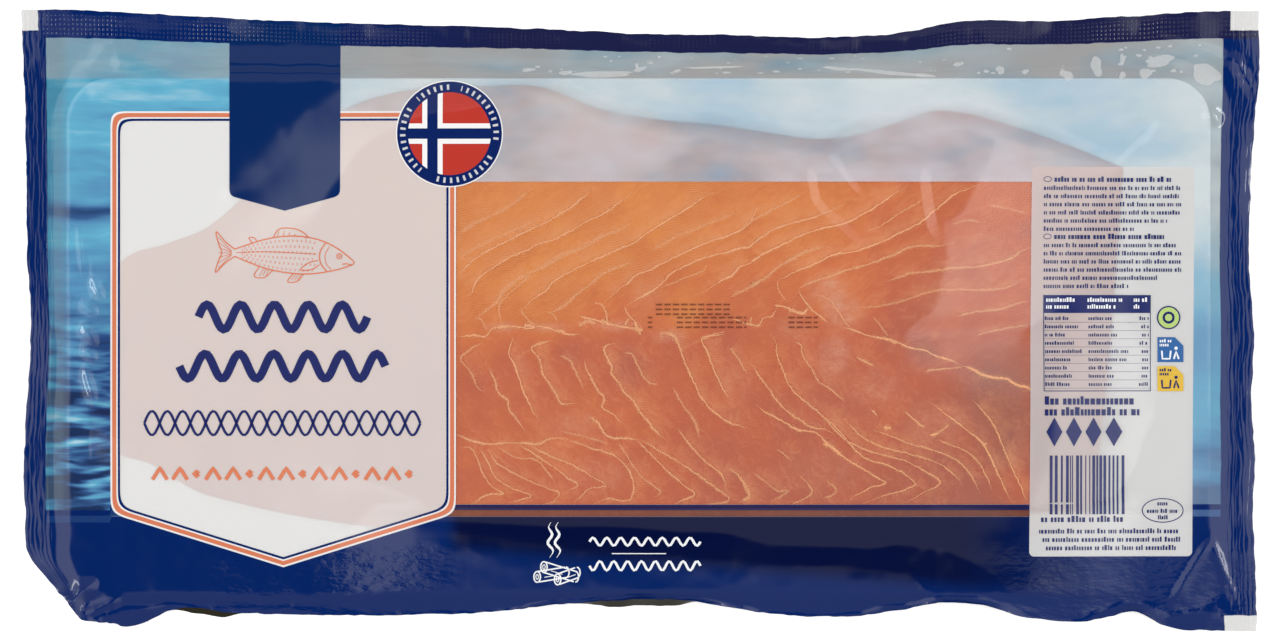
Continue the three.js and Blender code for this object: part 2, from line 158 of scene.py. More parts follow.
# The lines of fat in the top slice: strength, width in mm, how much they shade the flesh beside them, and their points.
# The flesh is lighter on a line's left, going along it, and darker on its right.
FAT_LINES = [
    (0.35, 0.9, 0.8, [(-58.9, 28.1), (-53.8, 31.3), (-46.8, 34.5), (-40.4, 38.3), (-34.6, 43.4)]),
    (0.85, 0.45, 0.9, [(-58.9, 14.3), (-55.7, 17.8), (-51.9, 21), (-47.4, 23.6), (-43.6, 25.5), (-39.1, 27.7),
        (-34.6, 30), (-29.5, 32.2), (-25.7, 34.5), (-21.8, 37), (-18, 40.2), (-14.1, 43.7)]),
    (0.9, 0.5, 1, [(-57.6, 7.9), (-54.4, 8.9), (-53.2, 12.4), (-51.2, 14.6), (-47.4, 17.2), (-42.3, 20.4),
        (-37.2, 22.6), (-32.7, 24.9), (-28.2, 26.1), (-23.1, 28.7), (-18, 31.6), (-14.1, 33.5), (-10.9, 35.1),
        (-7.1, 38), (-3.9, 40.2), (-2, 42.1)]),
    (0.3, 0.8, 0.8, [(-58.9, 19.7), (-55.1, 22.3), (-48.7, 25.8), (-42.3, 28.7), (-35.9, 31.3), (-32.7, 32.9)]),
    (0.4, 0.9, 0.7, [(-52.8, 0.9), (-50, 3.1), (-46.1, 6.3), (-44.2, 9.5), (-40.4, 12.7), (-35.9, 15.3),
        (-30.8, 17.8), (-25.7, 21), (-20.5, 22.9), (-15.4, 25.5), (-10.3, 28.1), (-6.5, 29.3), (-2, 32.2)]),
    (0.5, 0.35, 0.2, [(-44.7, -0.7), (-45.5, 2.5), (-45.5, 4.4), (-42.9, 8.2), (-39.7, 10.8), (-36.9, 13.3),
        (-34, 14.5)]),
    (1, 0.5, 1, [(-38.5, 3.4), (-34.6, 6.9), (-30.8, 9.5), (-28.2, 12.4), (-24.4, 14.9), (-19.9, 17.2), (-15.4, 19.4),
        (-10.9, 21.3), (-6.5, 23.3), (-2, 25.2), (1.9, 28.1), (5.7, 30.6), (9.5, 32.9), (13.4, 35.1), (17.2, 37.6),
        (21.7, 40.5), (26.2, 41.8)]),
    (0.4, 0.7, 0.7, [(-28.9, 2.8), (-24.4, 5), (-20.5, 8.5), (-16.7, 11.4), (-13.5, 14), (-10.3, 15.9), (-6.5, 17.5),
        (-2, 19.1)]),
    (0.3, 0.8, 0.8, [(3.1, 22.3), (7.6, 24.9), (12.1, 27.4), (17.2, 29.3), (21.7, 31.3), (26.8, 33.2), (31.3, 35.1)]),
    (0.95, 0.45, 0.9, [(-12.5, 5.3), (-9, 8.2), (-6.5, 10.5), (-3.6, 12.4), (-2.3, 14), (2.5, 16.2), (7.6, 18.8),
        (12.7, 21.3), (17.8, 23.6), (23, 25.8), (28.1, 27.4), (31.9, 29), (35.8, 31.9), (37.3, 35.5), (40.4, 38)]),
    (0.85, 0.55, 0.7, [(-5.2, 4.7), (-1.3, 6.9), (2.5, 8.9), (6.3, 11.4), (9.5, 14.9), (14, 17.5), (19.1, 19.7),
        (24.2, 21.3), (28.1, 22), (31.3, 23.3), (35.1, 23.9), (38.3, 26.5), (37.3, 25.9), (42.3, 29), (46.6, 30.8),
        (50.9, 32.1), (55.9, 33.3), (59.6, 34.9), (63.3, 36.4), (67, 38.6)]),
    (0.45, 0.3, 0.1, [(7, 10.8), (11.5, 12.7), (16.6, 14.6), (20.4, 16.2), (22.3, 18.5)]),
    (1, 0.5, 1, [(19.1, 8.5), (23, 10.8), (26.8, 13.3), (30, 14.9), (31.9, 17.2), (35.8, 18.8), (38.3, 20.7),
        (36.1, 19.1), (39.8, 21.6), (44.7, 24), (49.7, 26.5), (54.6, 28.7), (59, 29.9), (63.3, 30.8), (67.6, 32.1),
        (71.4, 34.2), (75.7, 36.7), (79.4, 39.2), (83.7, 42), (86.8, 43.8)]),
    (0.5, 0.7, 0.7, [(28.1, 7.3), (31.9, 9.2), (34.5, 10.5), (38.3, 12.7), (36.1, 11.3), (41, 14.4), (44.7, 17.5),
        (49.1, 20), (53.4, 22.2), (57.1, 23.4), (60.8, 24.3)]),
    (0.45, 0.6, 0.7, [(32.4, 29.9), (36.1, 32.4), (40.4, 34.6), (44.7, 37), (49.7, 39.5), (52.8, 41.4)]),
    (0.5, 0.3, 0.4, [(72.6, 28.7), (76.9, 30.2), (80.6, 32.7), (85, 35.5), (88.7, 37.6), (92.4, 40.4)]),
    (1, 0.55, 1, [(44.4, 12.9), (46.6, 14.1), (50.3, 16), (54.6, 17.5), (57.7, 19.1), (61.5, 20.9), (63.9, 21.6),
        (68.3, 22.2), (73.2, 23.7), (78.2, 25.6), (83.1, 28.1), (87.5, 30.2), (91.2, 32.4), (94.3, 34.9), (98, 38),
        (102.3, 41.4), (106.7, 42.9), (109.7, 44.2)]),
    (0.55, 0.6, 0.8, [(50.6, 10.1), (54, 12), (58.4, 13.5), (63.3, 15.1), (67, 16.6), (70.7, 17.5), (75.1, 18.8),
        (78.8, 20.3), (83.1, 21.9), (86.8, 23.7), (91.2, 24.3), (96.7, 24.3), (101.7, 25.3)]),
    (0.5, 0.5, 0.6, [(78.8, 12.6), (82.5, 13.8), (86.2, 15.1), (90.6, 15.7), (94.3, 16), (99.2, 16.9), (104.2, 17.2),
        (109.1, 17.5), (114.1, 18.5), (119, 20), (123.4, 22.8), (125.8, 24.3)]),
    (0.4, 0.5, 0.7, [(69.5, 4.5), (74.5, 4.5), (78.8, 5.1), (83.1, 6.1), (88.1, 7.6), (91.8, 8.9), (95.5, 9.8),
        (100.5, 10.1), (106.7, 10.1), (112.8, 10.1), (117.8, 10.7), (121.5, 12.3), (124.6, 13.8)]),
    (0.3, 0.4, 0.3, [(100.5, 31.1), (105.4, 32.4), (110.4, 31.8)]),
    (0.3, 0.4, 0.3, [(112.2, 37.3), (116.6, 36.7), (120.9, 35.8), (125.2, 34.6)]),
    (0.4, 0.5, 0.6, [(102.3, 1.4), (106.7, 2.7), (111.6, 3.3), (116.6, 3.9), (121.5, 5.5), (125.8, 6.7)]),
    (0.35, 0.5, 0.6, [(108.5, -4.8), (114.1, -3.2), (119, -2.3), (124, -1.4), (126.2, -0.9)]),
    (0.95, 0.5, 0.1, [(-58.9, -5.1), (-54.4, -4.7), (-49.3, -4.6), (-48.4, -3), (-44.7, -1.9), (-39.1, -1.9),
        (-35.9, -2.3), (-32.7, -1.7), (-29.5, -2.3), (-26.9, -3.3), (-21.8, -4.3), (-18, -3.9)]),
    (1, 0.6, 0.1, [(-19.9, 1.5), (-15.4, 0.5), (-11.6, -0.4), (-7.1, -1.7), (-2.6, -2.3), (1.2, -2.7)]),
    (0.6, 0.6, 0.1, [(6.3, -3.9), (10.2, -4.3), (12.1, -5.9)]),
    (0.6, 0.4, 0.1, [(19.8, -6.2), (23, -4.6), (27.4, -3.3)]),
    (0.7, 0.4, 0.1, [(29.3, 0.7), (32.4, -0.1), (35.5, -1), (38.2, -1.4), (39.8, 0.8), (42.6, 1.7), (44.4, 4.5)]),
    (1, 0.7, 0.1, [(43.2, 5.1), (46.6, 4.5), (50.3, 3), (52.8, 2.4), (54.3, 4.5)]),
    (0.75, 0.5, 0.1, [(50.9, 10.1), (52.8, 7), (55.9, 3.3), (59, 0.8), (60.8, -0.7)]),
    (0.85, 0.5, 0.1, [(65.2, -2), (68.9, -2.9), (72.6, -4.4), (76.9, -5.4), (81.3, -6), (84.4, -7.5), (88.1, -8.8),
        (91.8, -9.4), (94.9, -11), (99.8, -12.5), (104.2, -14.4)]),
    (0.9, 0.9, 0.1, [(104.2, -14.4), (106.7, -15.3), (110.4, -17.2), (114.7, -18.4), (118.4, -18.7), (121.5, -20.6),
        (125.8, -21.8), (128.3, -24.3)]),
    (0.5, 0.35, 0.2, [(-38.5, 3.4), (-36.9, 1.2), (-35.3, -0.4), (-33.3, -1.4)]),
    (0.5, 0.35, 0.2, [(-30.1, 3.1), (-28.5, 2.5), (-26.6, -0.1)]),
    (0.7, 0.4, 0.2, [(-15.1, 5.7), (-12.5, 5.3), (-10.9, 2.5), (-10.6, -0.1), (-11.9, -1.7)]),
    (0.6, 0.35, 0.2, [(-5.2, 4.7), (-3.6, 1.8), (-1.3, -0.7), (-0.4, -2.7)]),
    (0.4, 0.35, 0.2, [(-53.5, 0.9), (-51.9, 0.9), (-50, -2), (-49.3, -3.3)]),
    (0.9, 0.5, 0, [(-3.6, 0.9), (-4.9, -1.4)]),
    (0.9, 0.8, 0, [(-1.7, -0.4), (0.3, -4.6)]),
    (0.5, 0.3, 0.2, [(44.4, 12.9), (44.4, 10.7), (45.7, 8.2), (47.2, 6.4)]),
    (0.6, 0.35, 0.2, [(57.1, 8.6), (61.5, 6.7), (63.3, 3.9), (66.4, -0.4), (68.3, -2.6)]),
    (0.4, 0.3, 0, [(75.1, 1.4), (78.2, -2.3), (80, -5.4)]),
    (0.7, 0.4, 0, [(33.9, -0.7), (36.7, -1.7)]),
    (0.7, 0.4, 0, [(36.1, 1.4), (35.5, -0.7)]),
    (0.45, 0.6, 0.7, [(-51.2, -6.8), (-57.6, -12.8), (-55.7, -15.1), (-53.8, -18.3), (-51.9, -22.1), (-50, -23.1)]),
    (0.6, 0.5, 0.3, [(-49, -14.4), (-46.8, -19.5), (-45.5, -23.4), (-42.9, -25.3), (-42.3, -28.5), (-39.7, -31.7),
        (-36.9, -36.2)]),
    (0.9, 0.5, 1, [(-41, -5.5), (-42.3, -10.6), (-40.4, -14.4), (-39.1, -18.3), (-37.8, -22.1), (-36.2, -25.6),
        (-34.9, -28.5), (-32.7, -31.7)]),
    (0.65, 0.6, 1, [(-28.2, -6.1), (-34.9, -9), (-32.4, -12.5), (-31.4, -17), (-29.5, -19.9), (-26.9, -24),
        (-25.7, -26.3), (-20.5, -26.6)]),
    (0.45, 0.5, 0.7, [(-26, -11.2), (-23.1, -12.5), (-20.5, -17), (-18.9, -20.2), (-18, -22.1)]),
    (0.65, 0.5, 0.5, [(-18, -12.5), (-17.3, -15.7), (-15.4, -18.9), (-13.8, -22.1), (-11.6, -25.3), (-12.2, -27.5),
        (-8.4, -30.4), (-6.1, -33)]),
    (0.75, 0.5, 0.9, [(-7.7, -6.8), (-11.6, -8.7), (-10.3, -12.5), (-9, -14.7), (-9.3, -17), (-7.1, -19.5),
        (-5.2, -22.7), (-2, -25.9), (-0.1, -29.1), (3.1, -33), (5.7, -36.2), (8.9, -38.7)]),
    (0.5, 0.5, 0.8, [(-5.2, -10.3), (-2.9, -10.6), (-0.7, -14.4), (1.2, -18.3), (3.1, -19.9), (6.3, -20.8)]),
    (0.45, 0.5, 0.5, [(10.8, -21.5), (13.4, -26.6), (15.3, -29.1), (17.2, -31.7), (19.1, -37.8)]),
    (0.95, 0.5, 0.9, [(6.3, -3.6), (10.8, -4.8), (12.7, -8.4), (14.6, -13.8), (17.2, -19.5), (19.8, -24.7),
        (23.6, -29.1), (28.1, -32.3), (35.1, -34.6)]),
    (0.85, 0.5, 0.9, [(27.4, -4.2), (19.8, -6.1), (21.7, -9.9), (23.6, -15.1), (25.5, -19.5), (27.1, -22.7),
        (29.4, -25.3)]),
    (0.5, 0.4, 0.6, [(28.7, -8.4), (30.6, -10.6), (32.6, -13.8), (34.5, -17)]),
    (0.75, 0.5, 0.2, [(-59.6, -36.2), (-54.4, -38.7), (-48.7, -39.7), (-42.9, -39.3), (-37.2, -39.4), (-32.1, -39.5),
        (-30.1, -38.4), (-26.9, -37.8), (-23.1, -38.1)]),
    (0.8, 0.6, 0.2, [(-16.7, -30.7), (-13.5, -33), (-10.9, -36.8), (-8.4, -37.8), (-3.9, -37.8), (-0.7, -38.4)]),
    (0.4, 0.4, 0.2, [(-25.7, -35.5), (-19.9, -36.8), (-14.1, -38.4), (-9, -40)]),
    (0.7, 0.4, 0.7, [(-57.6, -40.7), (-54.4, -41.3), (-52.5, -44.5), (-50.6, -49.6), (-46.8, -54.1), (-44.2, -55.7),
        (-48.7, -56), (-55.1, -59.5)]),
    (0.7, 0.4, 0.7, [(-51.9, -40.7), (-49.3, -45.1), (-46.8, -50.3), (-41, -54.1), (-35.3, -56.3), (-42.9, -58.9)]),
    (0.6, 0.4, 0.7, [(-49.3, -40.7), (-47.4, -44.5), (-42.3, -48.3), (-35.9, -51.5), (-29.5, -54.1), (-26, -55.7),
        (-26.9, -57.3), (-32.7, -59.5)]),
    (0.5, 0.4, 0.5, [(-46.1, -40.7), (-40.4, -43.9), (-33.3, -45.1), (-30.1, -48.3), (-27.3, -52.2)]),
    (0.65, 0.4, 0.6, [(-39.1, -39.7), (-32.7, -43.9), (-26.9, -47.7), (-23.1, -50.9), (-20.2, -52.8),
        (-24.4, -55.1)]),
    (0.6, 0.4, 0.6, [(-35.9, -40), (-28.2, -43.9), (-21.8, -46.4), (-15.4, -50.3), (-10.9, -53.1), (-16.1, -54.1),
        (-21.8, -59.5)]),
    (0.7, 0.4, 0.7, [(-23.7, -38.1), (-16.7, -40.7), (-7.7, -43.9), (-3.9, -47.7), (-2, -54.1), (-3.3, -57.6),
        (-10.3, -57.3), (-16.1, -59.5)]),
    (0.5, 0.35, 0.4, [(-7.1, -38.7), (-3.9, -43.9), (-0.1, -49.6), (6.3, -56), (3.8, -57.3)]),
    (0.7, 0.4, 0.6, [(-1.3, -38.1), (4.4, -43.9), (9.5, -49), (14, -52.8), (17.5, -55.7), (12.1, -58.6),
        (10.2, -59.9)]),
    (0.65, 0.4, 0.6, [(-0.1, -38.1), (7.6, -42.6), (17.8, -49), (24.9, -54.1), (28.7, -57.3), (19.8, -59.5)]),
    (0.7, 0.4, 0.6, [(12.1, -34.9), (17.2, -41.3), (21.7, -45.8), (26.8, -50.3), (27.8, -53.5)]),
    (0.65, 0.4, 0.6, [(28.1, -47.1), (31.3, -49.6), (33.8, -53.5), (35.1, -57), (31.9, -58.3)]),
    (0.5, 0.35, 0.5, [(32.4, -50), (35.1, -56.8), (32.4, -57.7)]),
    (0.4, 0.4, 0.5, [(36.1, -48.7), (40.4, -51.8), (44.7, -54.9), (47.8, -54.6), (41.6, -58.6)]),
    (0.45, 0.35, 0.3, [(44.1, -41.3), (46.6, -43.2), (49.1, -45.6)]),
    (0.5, 0.35, 0.5, [(50.9, -49.3), (54.6, -53.1), (55.6, -54.9), (52.8, -57.4), (48.5, -59.1)]),
    (0.45, 0.4, 0.4, [(60.2, -51.2), (63.3, -54.9), (59, -57.4)]),
    (0.75, 0.4, 0.6, [(41.6, -3.5), (44.1, -7.9), (44.1, -11), (46, -15.3), (47.8, -20.2), (50.9, -24), (54.6, -27.1),
        (58.4, -30.2), (63.3, -34.5), (67, -38.8), (72, -43.8), (80.6, -46.9), (86.2, -50), (88.7, -52.4),
        (85.6, -54.3), (78.2, -56.5), (72, -58.9)]),
    (0.7, 0.4, 0.5, [(36.1, -14.1), (39.8, -19.6), (43.5, -24.6), (46.6, -28.3), (50.9, -31.4), (55.9, -34.5),
        (60.2, -35.1), (63.3, -37.6)]),
    (0.9, 0.5, 0.3, [(36.7, -26.4), (39.8, -28.9), (45.4, -32), (50.9, -35.1), (57.1, -36.3), (60.2, -39.4),
        (65.2, -43.5), (69.5, -46.2), (75.7, -50), (79.1, -52.1), (74.5, -53.7), (69.5, -56.5), (67, -58.6)]),
    (1, 1, 0, [(59, -39.4), (62.1, -40.8), (65.2, -43.5)]),
    (0.8, 0.7, 0, [(47.8, -33.6), (52.2, -35.7)]),
    (0.6, 0.4, 0.8, [(49.1, -6.6), (50.9, -6.9), (52.8, -11.6), (55.3, -15.3), (57.1, -19), (61.5, -22.1),
        (66.4, -26.4)]),
    (0.7, 0.4, 0.6, [(57.7, -29.5), (67, -38.8), (75.7, -42.5), (85, -45), (91.2, -48.1), (96.7, -52.1),
        (91.2, -55.5), (85.6, -58.6)]),
    (0.65, 0.4, 0.6, [(65.8, -31.4), (72, -37.6), (76.9, -40.1), (88.1, -43.2), (96.7, -46.2), (101.7, -50),
        (104.5, -53.4)]),
    (0.65, 0.4, 0.6, [(75.1, -35.1), (80, -36.7), (86.2, -39.4), (94.3, -41.6), (102.3, -45), (106, -48.7),
        (109.7, -55.5)]),
    (0.65, 0.4, 0.6, [(95.5, -38.2), (100.5, -40.1), (106, -42.5), (110.4, -47.5), (113.5, -54.3)]),
    (0.8, 0.45, 0.8, [(93, -25.8), (100.5, -31.4), (105.4, -35.1), (110.4, -39.4), (113.5, -45), (116.6, -51.8),
        (119.7, -58.3)]),
    (0.8, 0.45, 0.9, [(107.3, -25.2), (111, -29.5), (113.5, -32.6), (115.9, -37.6), (119, -45), (122.1, -51.8),
        (124.9, -58.3)]),
    (0.9, 0.6, 0, [(74.8, -28.6), (76.4, -30.8)]),
    (1, 0.9, 0, [(78.5, -34.4), (81, -34.6)]),
    (0.75, 0.6, 0, [(85.3, -29), (88.1, -31.4), (91.8, -34.6)]),
    (0.95, 1.1, 0, [(93.3, -36.7), (96.1, -36.3)]),
    (0.6, 0.4, 0, [(95.5, -36.3), (98, -34.8), (99.8, -33.2)]),
    (0.7, 0.6, 0, [(110.4, -40.1), (112.2, -39.4)]),
    (0.8, 0.6, 0.2, [(76.9, -5.4), (80, -6), (83.1, -7.4)]),
    (0.6, 0.5, 0.3, [(69.5, -11.6), (72, -12.8), (75.7, -14.7)]),
    (0.5, 0.4, 0.3, [(91.8, -16.2), (96.7, -15.6), (104.2, -15)]),
    (0.9, 0.8, 0, [(-46, -1.6), (-44.3, -1.9), (-42.4, -1.7)]),
    (0.8, 0.7, 0, [(-37.4, -1.4), (-35.6, -1.6), (-34, -2.2)]),
    (0.9, 0.7, 0, [(-27.6, -3.3), (-25.9, -3.2), (-24, -3.8)]), (1, 0.8, 0, [(-12.4, 0.4), (-11, -0.3), (-9.6, -1.4)]),
    (0.9, 0.8, 0, [(-2.2, -2.4), (-0.6, -2.9), (1, -2.6)]), (0.9, 0.7, 0, [(8.2, -4), (9.7, -4.2), (11.2, -5)]),
    (0.6, 0.9, 0, [(-20, -1.5), (-17, -0.2), (-14, -0.8)]), (0.6, 0.8, 0, [(48, 3.8), (51, 2.8), (53, 2.9)]),
]
# Where the flesh is warmer (above 0) or greyer (below 0): x, y, reach in mm, amount.
FLESH_TONES = [
    (-29, 38, 30, 0.9), (10, 35, 34, 0.45), (55, 38, 22, 0.35), (-40, 20, 30, 0.25), (20, 8, 30, -0.05),
    (-55, -19, 9, -0.45), (-39, -12, 8, -0.4), (-24, -9, 6, -0.35), (-3, -14, 8, -0.4), (12, -9, 6, -0.35),
    (27, -8, 7, -0.35), (84, 0, 10, -0.35), (92, -9.5, 5, -0.7), (116, -19, 15, -0.85), (120, -42, 16, -0.4),
    (125, 29, 4, -0.5), (-12, -2, 20, -0.25), (108, 22, 18, -0.25), (98, -52, 20, -0.35), (45, -44, 20, -0.1),
    (60, -9, 12, -0.2), (72, 8, 9, 0.25), (-20, -53, 25, 0.15), (58, 2, 5, 0.3), (-33, -1, 7, 0.3), (15, 2, 7, 0.45),
    (105, -40, 9, 0.25), (122, -52, 7, 0.5),
]
# Where the flesh is paler: x, y, half width, half height, amount.
PALE_FLESH = [
    (61, 10, 6, 5, 0.6), (66, 3, 6, 5, 0.7), (63, -12, 5, 7, 0.6), (97, 8, 7, 9, 0.25), (110, 20, 14, 12, 0.2),
    (48, -3, 6, 4, 0.3), (76, -22, 8, 6, 0.35), (-44, -2, 5, 1.6, 0.6), (-30, -2, 6, 1.6, 0.5), (-8, -1.5, 7, 1.8, 0.5),
    (9, -5, 5, 2, 0.5), (-22, -33, 9, 4, 0.25), (95, -32, 9, 6, 0.3), (30, -20, 6, 9, 0.2), (2, 9, 6, 6, 0.2),
    (-10, -50, 14, 5, 0.15), (60, -48, 16, 6, 0.15),
]

# How deep the water's colour is, by the share of the way from the navy field to the top seal.
SEA_STREAKS = [
    (0.0, 0.56), (0.06, 0.70), (0.10, 0.48), (0.13, 0.66), (0.20, 0.50), (0.38, 0.46), (0.48, 0.36), (0.545, 0.40),
    (0.575, 0.24), (0.605, 0.28), (0.635, 0.62), (0.66, 0.32), (0.745, 0.28), (0.79, 0.20), (0.83, 0.28), (0.87, 0.19),
    (1.0, 0.22),
]

TENT = {"sides": 1.47, "ends": 0.40, "opening": 0.015}  # how bright the parts of the light tent are
# The picture's width, the size of a pixel on the table, and the camera's height over it.
PICTURE = {"pixels": 1280, "pixel": 0.3236 * MM, "height": 2.0}


# ---------------------------------------------------------------------------------------------------------------------
# Curves, fields and meshes
# ---------------------------------------------------------------------------------------------------------------------

def curve_through(points, at):
    """A smooth curve through (place, value) points: on each stretch a cubic whose slope at a point is that between its
    two neighbours."""
    place, value = np.array(points, float).T
    slope = np.gradient(value, place)
    at = np.clip(at, place[0], place[-1])
    i = np.clip(np.searchsorted(place, at) - 1, 0, len(place) - 2)
    span = place[i + 1] - place[i]
    s = (at - place[i]) / span
    return (
        (1 + 2 * s) * (1 - s) ** 2 * value[i] + s * (1 - s) ** 2 * span * slope[i]
        + s * s * (3 - 2 * s) * value[i + 1] - s * s * (1 - s) * span * slope[i + 1]
    )


def ramp(value, low, high):
    """0 up to low, 1 from high on, and the smooth cubic step between them."""
    s = np.clip((value - low) / (high - low), 0, 1)
    return s * s * (3 - 2 * s)


def swell(x, y, size, seed):
    """Smooth noise from -1 to 1: random values on the points of a lattice with that cell size, blended over each cell
    by the cubic step."""
    table = np.random.default_rng(seed).uniform(-1, 1, (257, 257))
    gx, gy = np.asarray(x) / size + 1000.0, np.asarray(y) / size + 1000.0
    ix, iy = np.floor(gx).astype(int), np.floor(gy).astype(int)
    sx, sy = ramp(gx - ix, 0, 1), ramp(gy - iy, 0, 1)
    ix, iy = ix % 256, iy % 256
    low = table[ix, iy] * (1 - sx) + table[ix + 1, iy] * sx
    high = table[ix, iy + 1] * (1 - sx) + table[ix + 1, iy + 1] * sx
    return low * (1 - sy) + high * sy


def creases(x, y, rows):
    """The sum of ridges (x1, y1, x2, y2, width, height): each rises along its line as
    1 / (1 + (distance / width)^2)^1.5, and fades out past both ends."""
    total = np.zeros(np.broadcast(x, y).shape)
    for x1, y1, x2, y2, width, height in rows:
        dx, dy = x2 - x1, y2 - y1
        length = math.hypot(dx, dy)
        share = ((x - x1) * dx + (y - y1) * dy) / length**2
        distance = np.abs((x - x1) * dy - (y - y1) * dx) / length
        fade = ramp(share, -0.15, 0.3) * (1 - ramp(share, 0.7, 1.15))
        total += height * fade / (1 + (distance / width) ** 2) ** 1.5
    return total


def beside(path, x, y):
    """How points lie by a path of straight pieces: the distance to its nearest piece, above 0 on its left side, and
    the share of its length at the nearest place."""
    path = np.asarray(path, float)
    lengths = np.hypot(*np.diff(path, axis=0).T)
    before = np.concatenate([[0], np.cumsum(lengths)])
    best = np.full(np.shape(x), np.inf)
    signed, share = np.zeros(np.shape(x)), np.zeros(np.shape(x))
    for (x1, y1), (x2, y2), length, start in zip(path[:-1], path[1:], lengths, before):
        along = np.clip(((x - x1) * (x2 - x1) + (y - y1) * (y2 - y1)) / length**2, 0, 1)
        distance = np.hypot(x - x1 - along * (x2 - x1), y - y1 - along * (y2 - y1))
        left = np.sign((x2 - x1) * (y - y1) - (y2 - y1) * (x - x1))
        nearer = distance < best
        best = np.where(nearer, distance, best)
        signed = np.where(nearer, distance * left, signed)
        share = np.where(nearer, (start + along * length) / before[-1], share)
    return signed, share


def board_inset(x, y):
    """How far a point lies inside the board's outline, a rectangle with round corners. It is negative outside."""
    half_x = BOARD["length"] / 2 - BOARD["corner"]
    half_y = BOARD["width"] / 2 - BOARD["corner"]
    qx, qy = np.abs(x - BOARD["x"]) - half_x, np.abs(y - BOARD["y"]) - half_y
    outside = np.hypot(np.maximum(qx, 0), np.maximum(qy, 0))
    return BOARD["corner"] - outside - np.minimum(np.maximum(qx, qy), 0)


def slab_inset(x, y):
    """How far a point lies inside the slab's outline, negative outside: the distance to the nearest edge, taken down
    each column and across each row. The ends taper, so the way to them counts for less: 0.4 and 0.25 of it."""
    low, high = curve_through(SLAB_LOW, x), curve_through(SLAB_HIGH, x)
    right = curve_through(SLAB_RIGHT, np.clip((y - low) / (high - low), 0, 1))
    step = 0.5
    low_slope = (curve_through(SLAB_LOW, x + step) - low) / step
    high_slope = (curve_through(SLAB_HIGH, x + step) - high) / step
    return np.minimum.reduce([
        (y - low) / np.sqrt(1 + low_slope**2), (high - y) / np.sqrt(1 + high_slope**2),
        (x - SLAB_LEFT) * 0.4, (right - x) * 0.25,
    ])


def above(value, size=0.7):
    """The value where it is above 0 and 0 where it is below, with the corner rounded over about that size."""
    return (value + np.sqrt(value**2 + size**2)) / 2


def slices_thickness(x, y):
    """The slices' thickness over the board: it grows from the narrow end, sways a little, and falls by 0.1 a mm for
    40 mm right of the THINNING line, less so in the lower half."""
    thick = SLAB_HEIGHT["tail"] + (SLAB_HEIGHT["body"] - SLAB_HEIGHT["tail"]) * ramp(x, -170, 20)
    sway = 0.16 * np.sin(x / 17 + y / 31) + 0.14 * np.sin(y / 13 - x / 43)
    past = x - curve_through(THINNING, y)
    return thick + sway - 0.1 * (above(past, 2) - above(past - 40, 2)) * (0.25 + 0.75 * ramp(y, -34, 4))


def film_shelf(x, y):
    """The height over the board at which the film bridges from the slab's lower edge to the board's: from y = -60.5 it
    falls by 0.14 a mm as far as the shelf, and by less where that is more than 14 mm away, runs level over it, falls
    by 0.05 to 0.1 a mm to the board's edge, 27.5 mm down, and past that edge to nothing in 7 mm."""
    start, slope, reach, last = -60.5, 0.14, 14, 7
    thick = slices_thickness(x, y)
    down = start - y
    first, second = start - curve_through(SHELF_HIGH, x), start - curve_through(SHELF_LOW, x)
    edge = np.maximum(second + 1, 27.5)
    rate = slope * np.minimum(first, reach) / first
    shelf = thick - rate * first
    kept = np.maximum(shelf - (0.05 + 0.05 * ramp(x, 10, 80)) * (edge - second), 0)
    fall = rate * (above(down) - above(down - first))
    fall = fall + (shelf - kept) / (edge - second) * (above(down - second) - above(down - edge))
    return above(thick - fall - kept / last * (above(down - edge) - above(down - edge - last)), 0.3)


def slab_rise(x, y):
    """The height of the slab's top over the board: 0 off the slab, a rounded climb at its wavy edge, which is longer
    towards the narrow end, and the slices' thickness inside. Near the lower edge it stays 0.12 under the bridging
    film."""
    wavy = slab_inset(x, y) + (1.8 - 1.2 * ramp(x, 85, 125)) * swell(x, y, 12, 26)
    thin = 1 - ramp(x, -120, -50)
    own = slices_thickness(x, y) * ramp(wavy, -SLAB_ROUNDING - 8 * thin, SLAB_ROUNDING + 18 * thin)
    bridged = ramp(x, -110, -70)
    return np.minimum(own, film_shelf(x, y) - 0.12 + 10 * (1 - bridged) + 10 * ramp(y, -60, -55))


def film_rise(x, y):
    """The height over the board of what holds the film up: the slab, or the shelf where the film bridges. Low on the
    right it is loose over the board, and comes down to the board's edge by 0.1 a mm."""
    bridged = ramp(x, -110, -70) * (1 - ramp(x, 122, 165)) * (1 - ramp(y, -60, -55))
    loose = ramp(x, 118, 146) * above(1.3 * ramp(-y, 26, 74) - 0.1 * above(-74.5 - y), 0.2)
    return np.maximum(slab_rise(x, y), film_shelf(x, y) * bridged + loose * ramp(y, -90, -86))


def new_piece(name, points, faces, maps=None, smooth=True):
    """A mesh piece from points in millimetres and rows of point numbers, with per-point maps by name: two columns
    become a UV map and three become a vector attribute."""
    mesh = bpy.data.meshes.new(name)
    mesh.from_pydata((np.asarray(points) * MM).tolist(), [], faces)
    corner = np.zeros(len(mesh.loops), np.int64)
    mesh.loops.foreach_get("vertex_index", corner)
    for label, values in (maps or {}).items():
        values = np.asarray(values, np.float32)
        if values.shape[1] == 2:
            mesh.uv_layers.new(name=label).data.foreach_set("uv", values[corner].ravel())
        else:
            mesh.attributes.new(label, "FLOAT_VECTOR", "POINT").data.foreach_set("vector", values.ravel())
    mesh.polygons.foreach_set("use_smooth", np.full(len(mesh.polygons), smooth))
    mesh.update()
    piece = bpy.data.objects.new(name, mesh)
    bpy.context.scene.collection.objects.link(piece)
    return piece


def grid_faces(columns, rows, start=0):
    """Quads over a grid whose points run column by column, seen from above anticlockwise."""
    i, j = np.meshgrid(np.arange(columns - 1), np.arange(rows - 1), indexing="ij")
    a = (start + i * rows + j).ravel()
    return np.stack([a, a + rows, a + rows + 1, a + 1], 1).tolist()


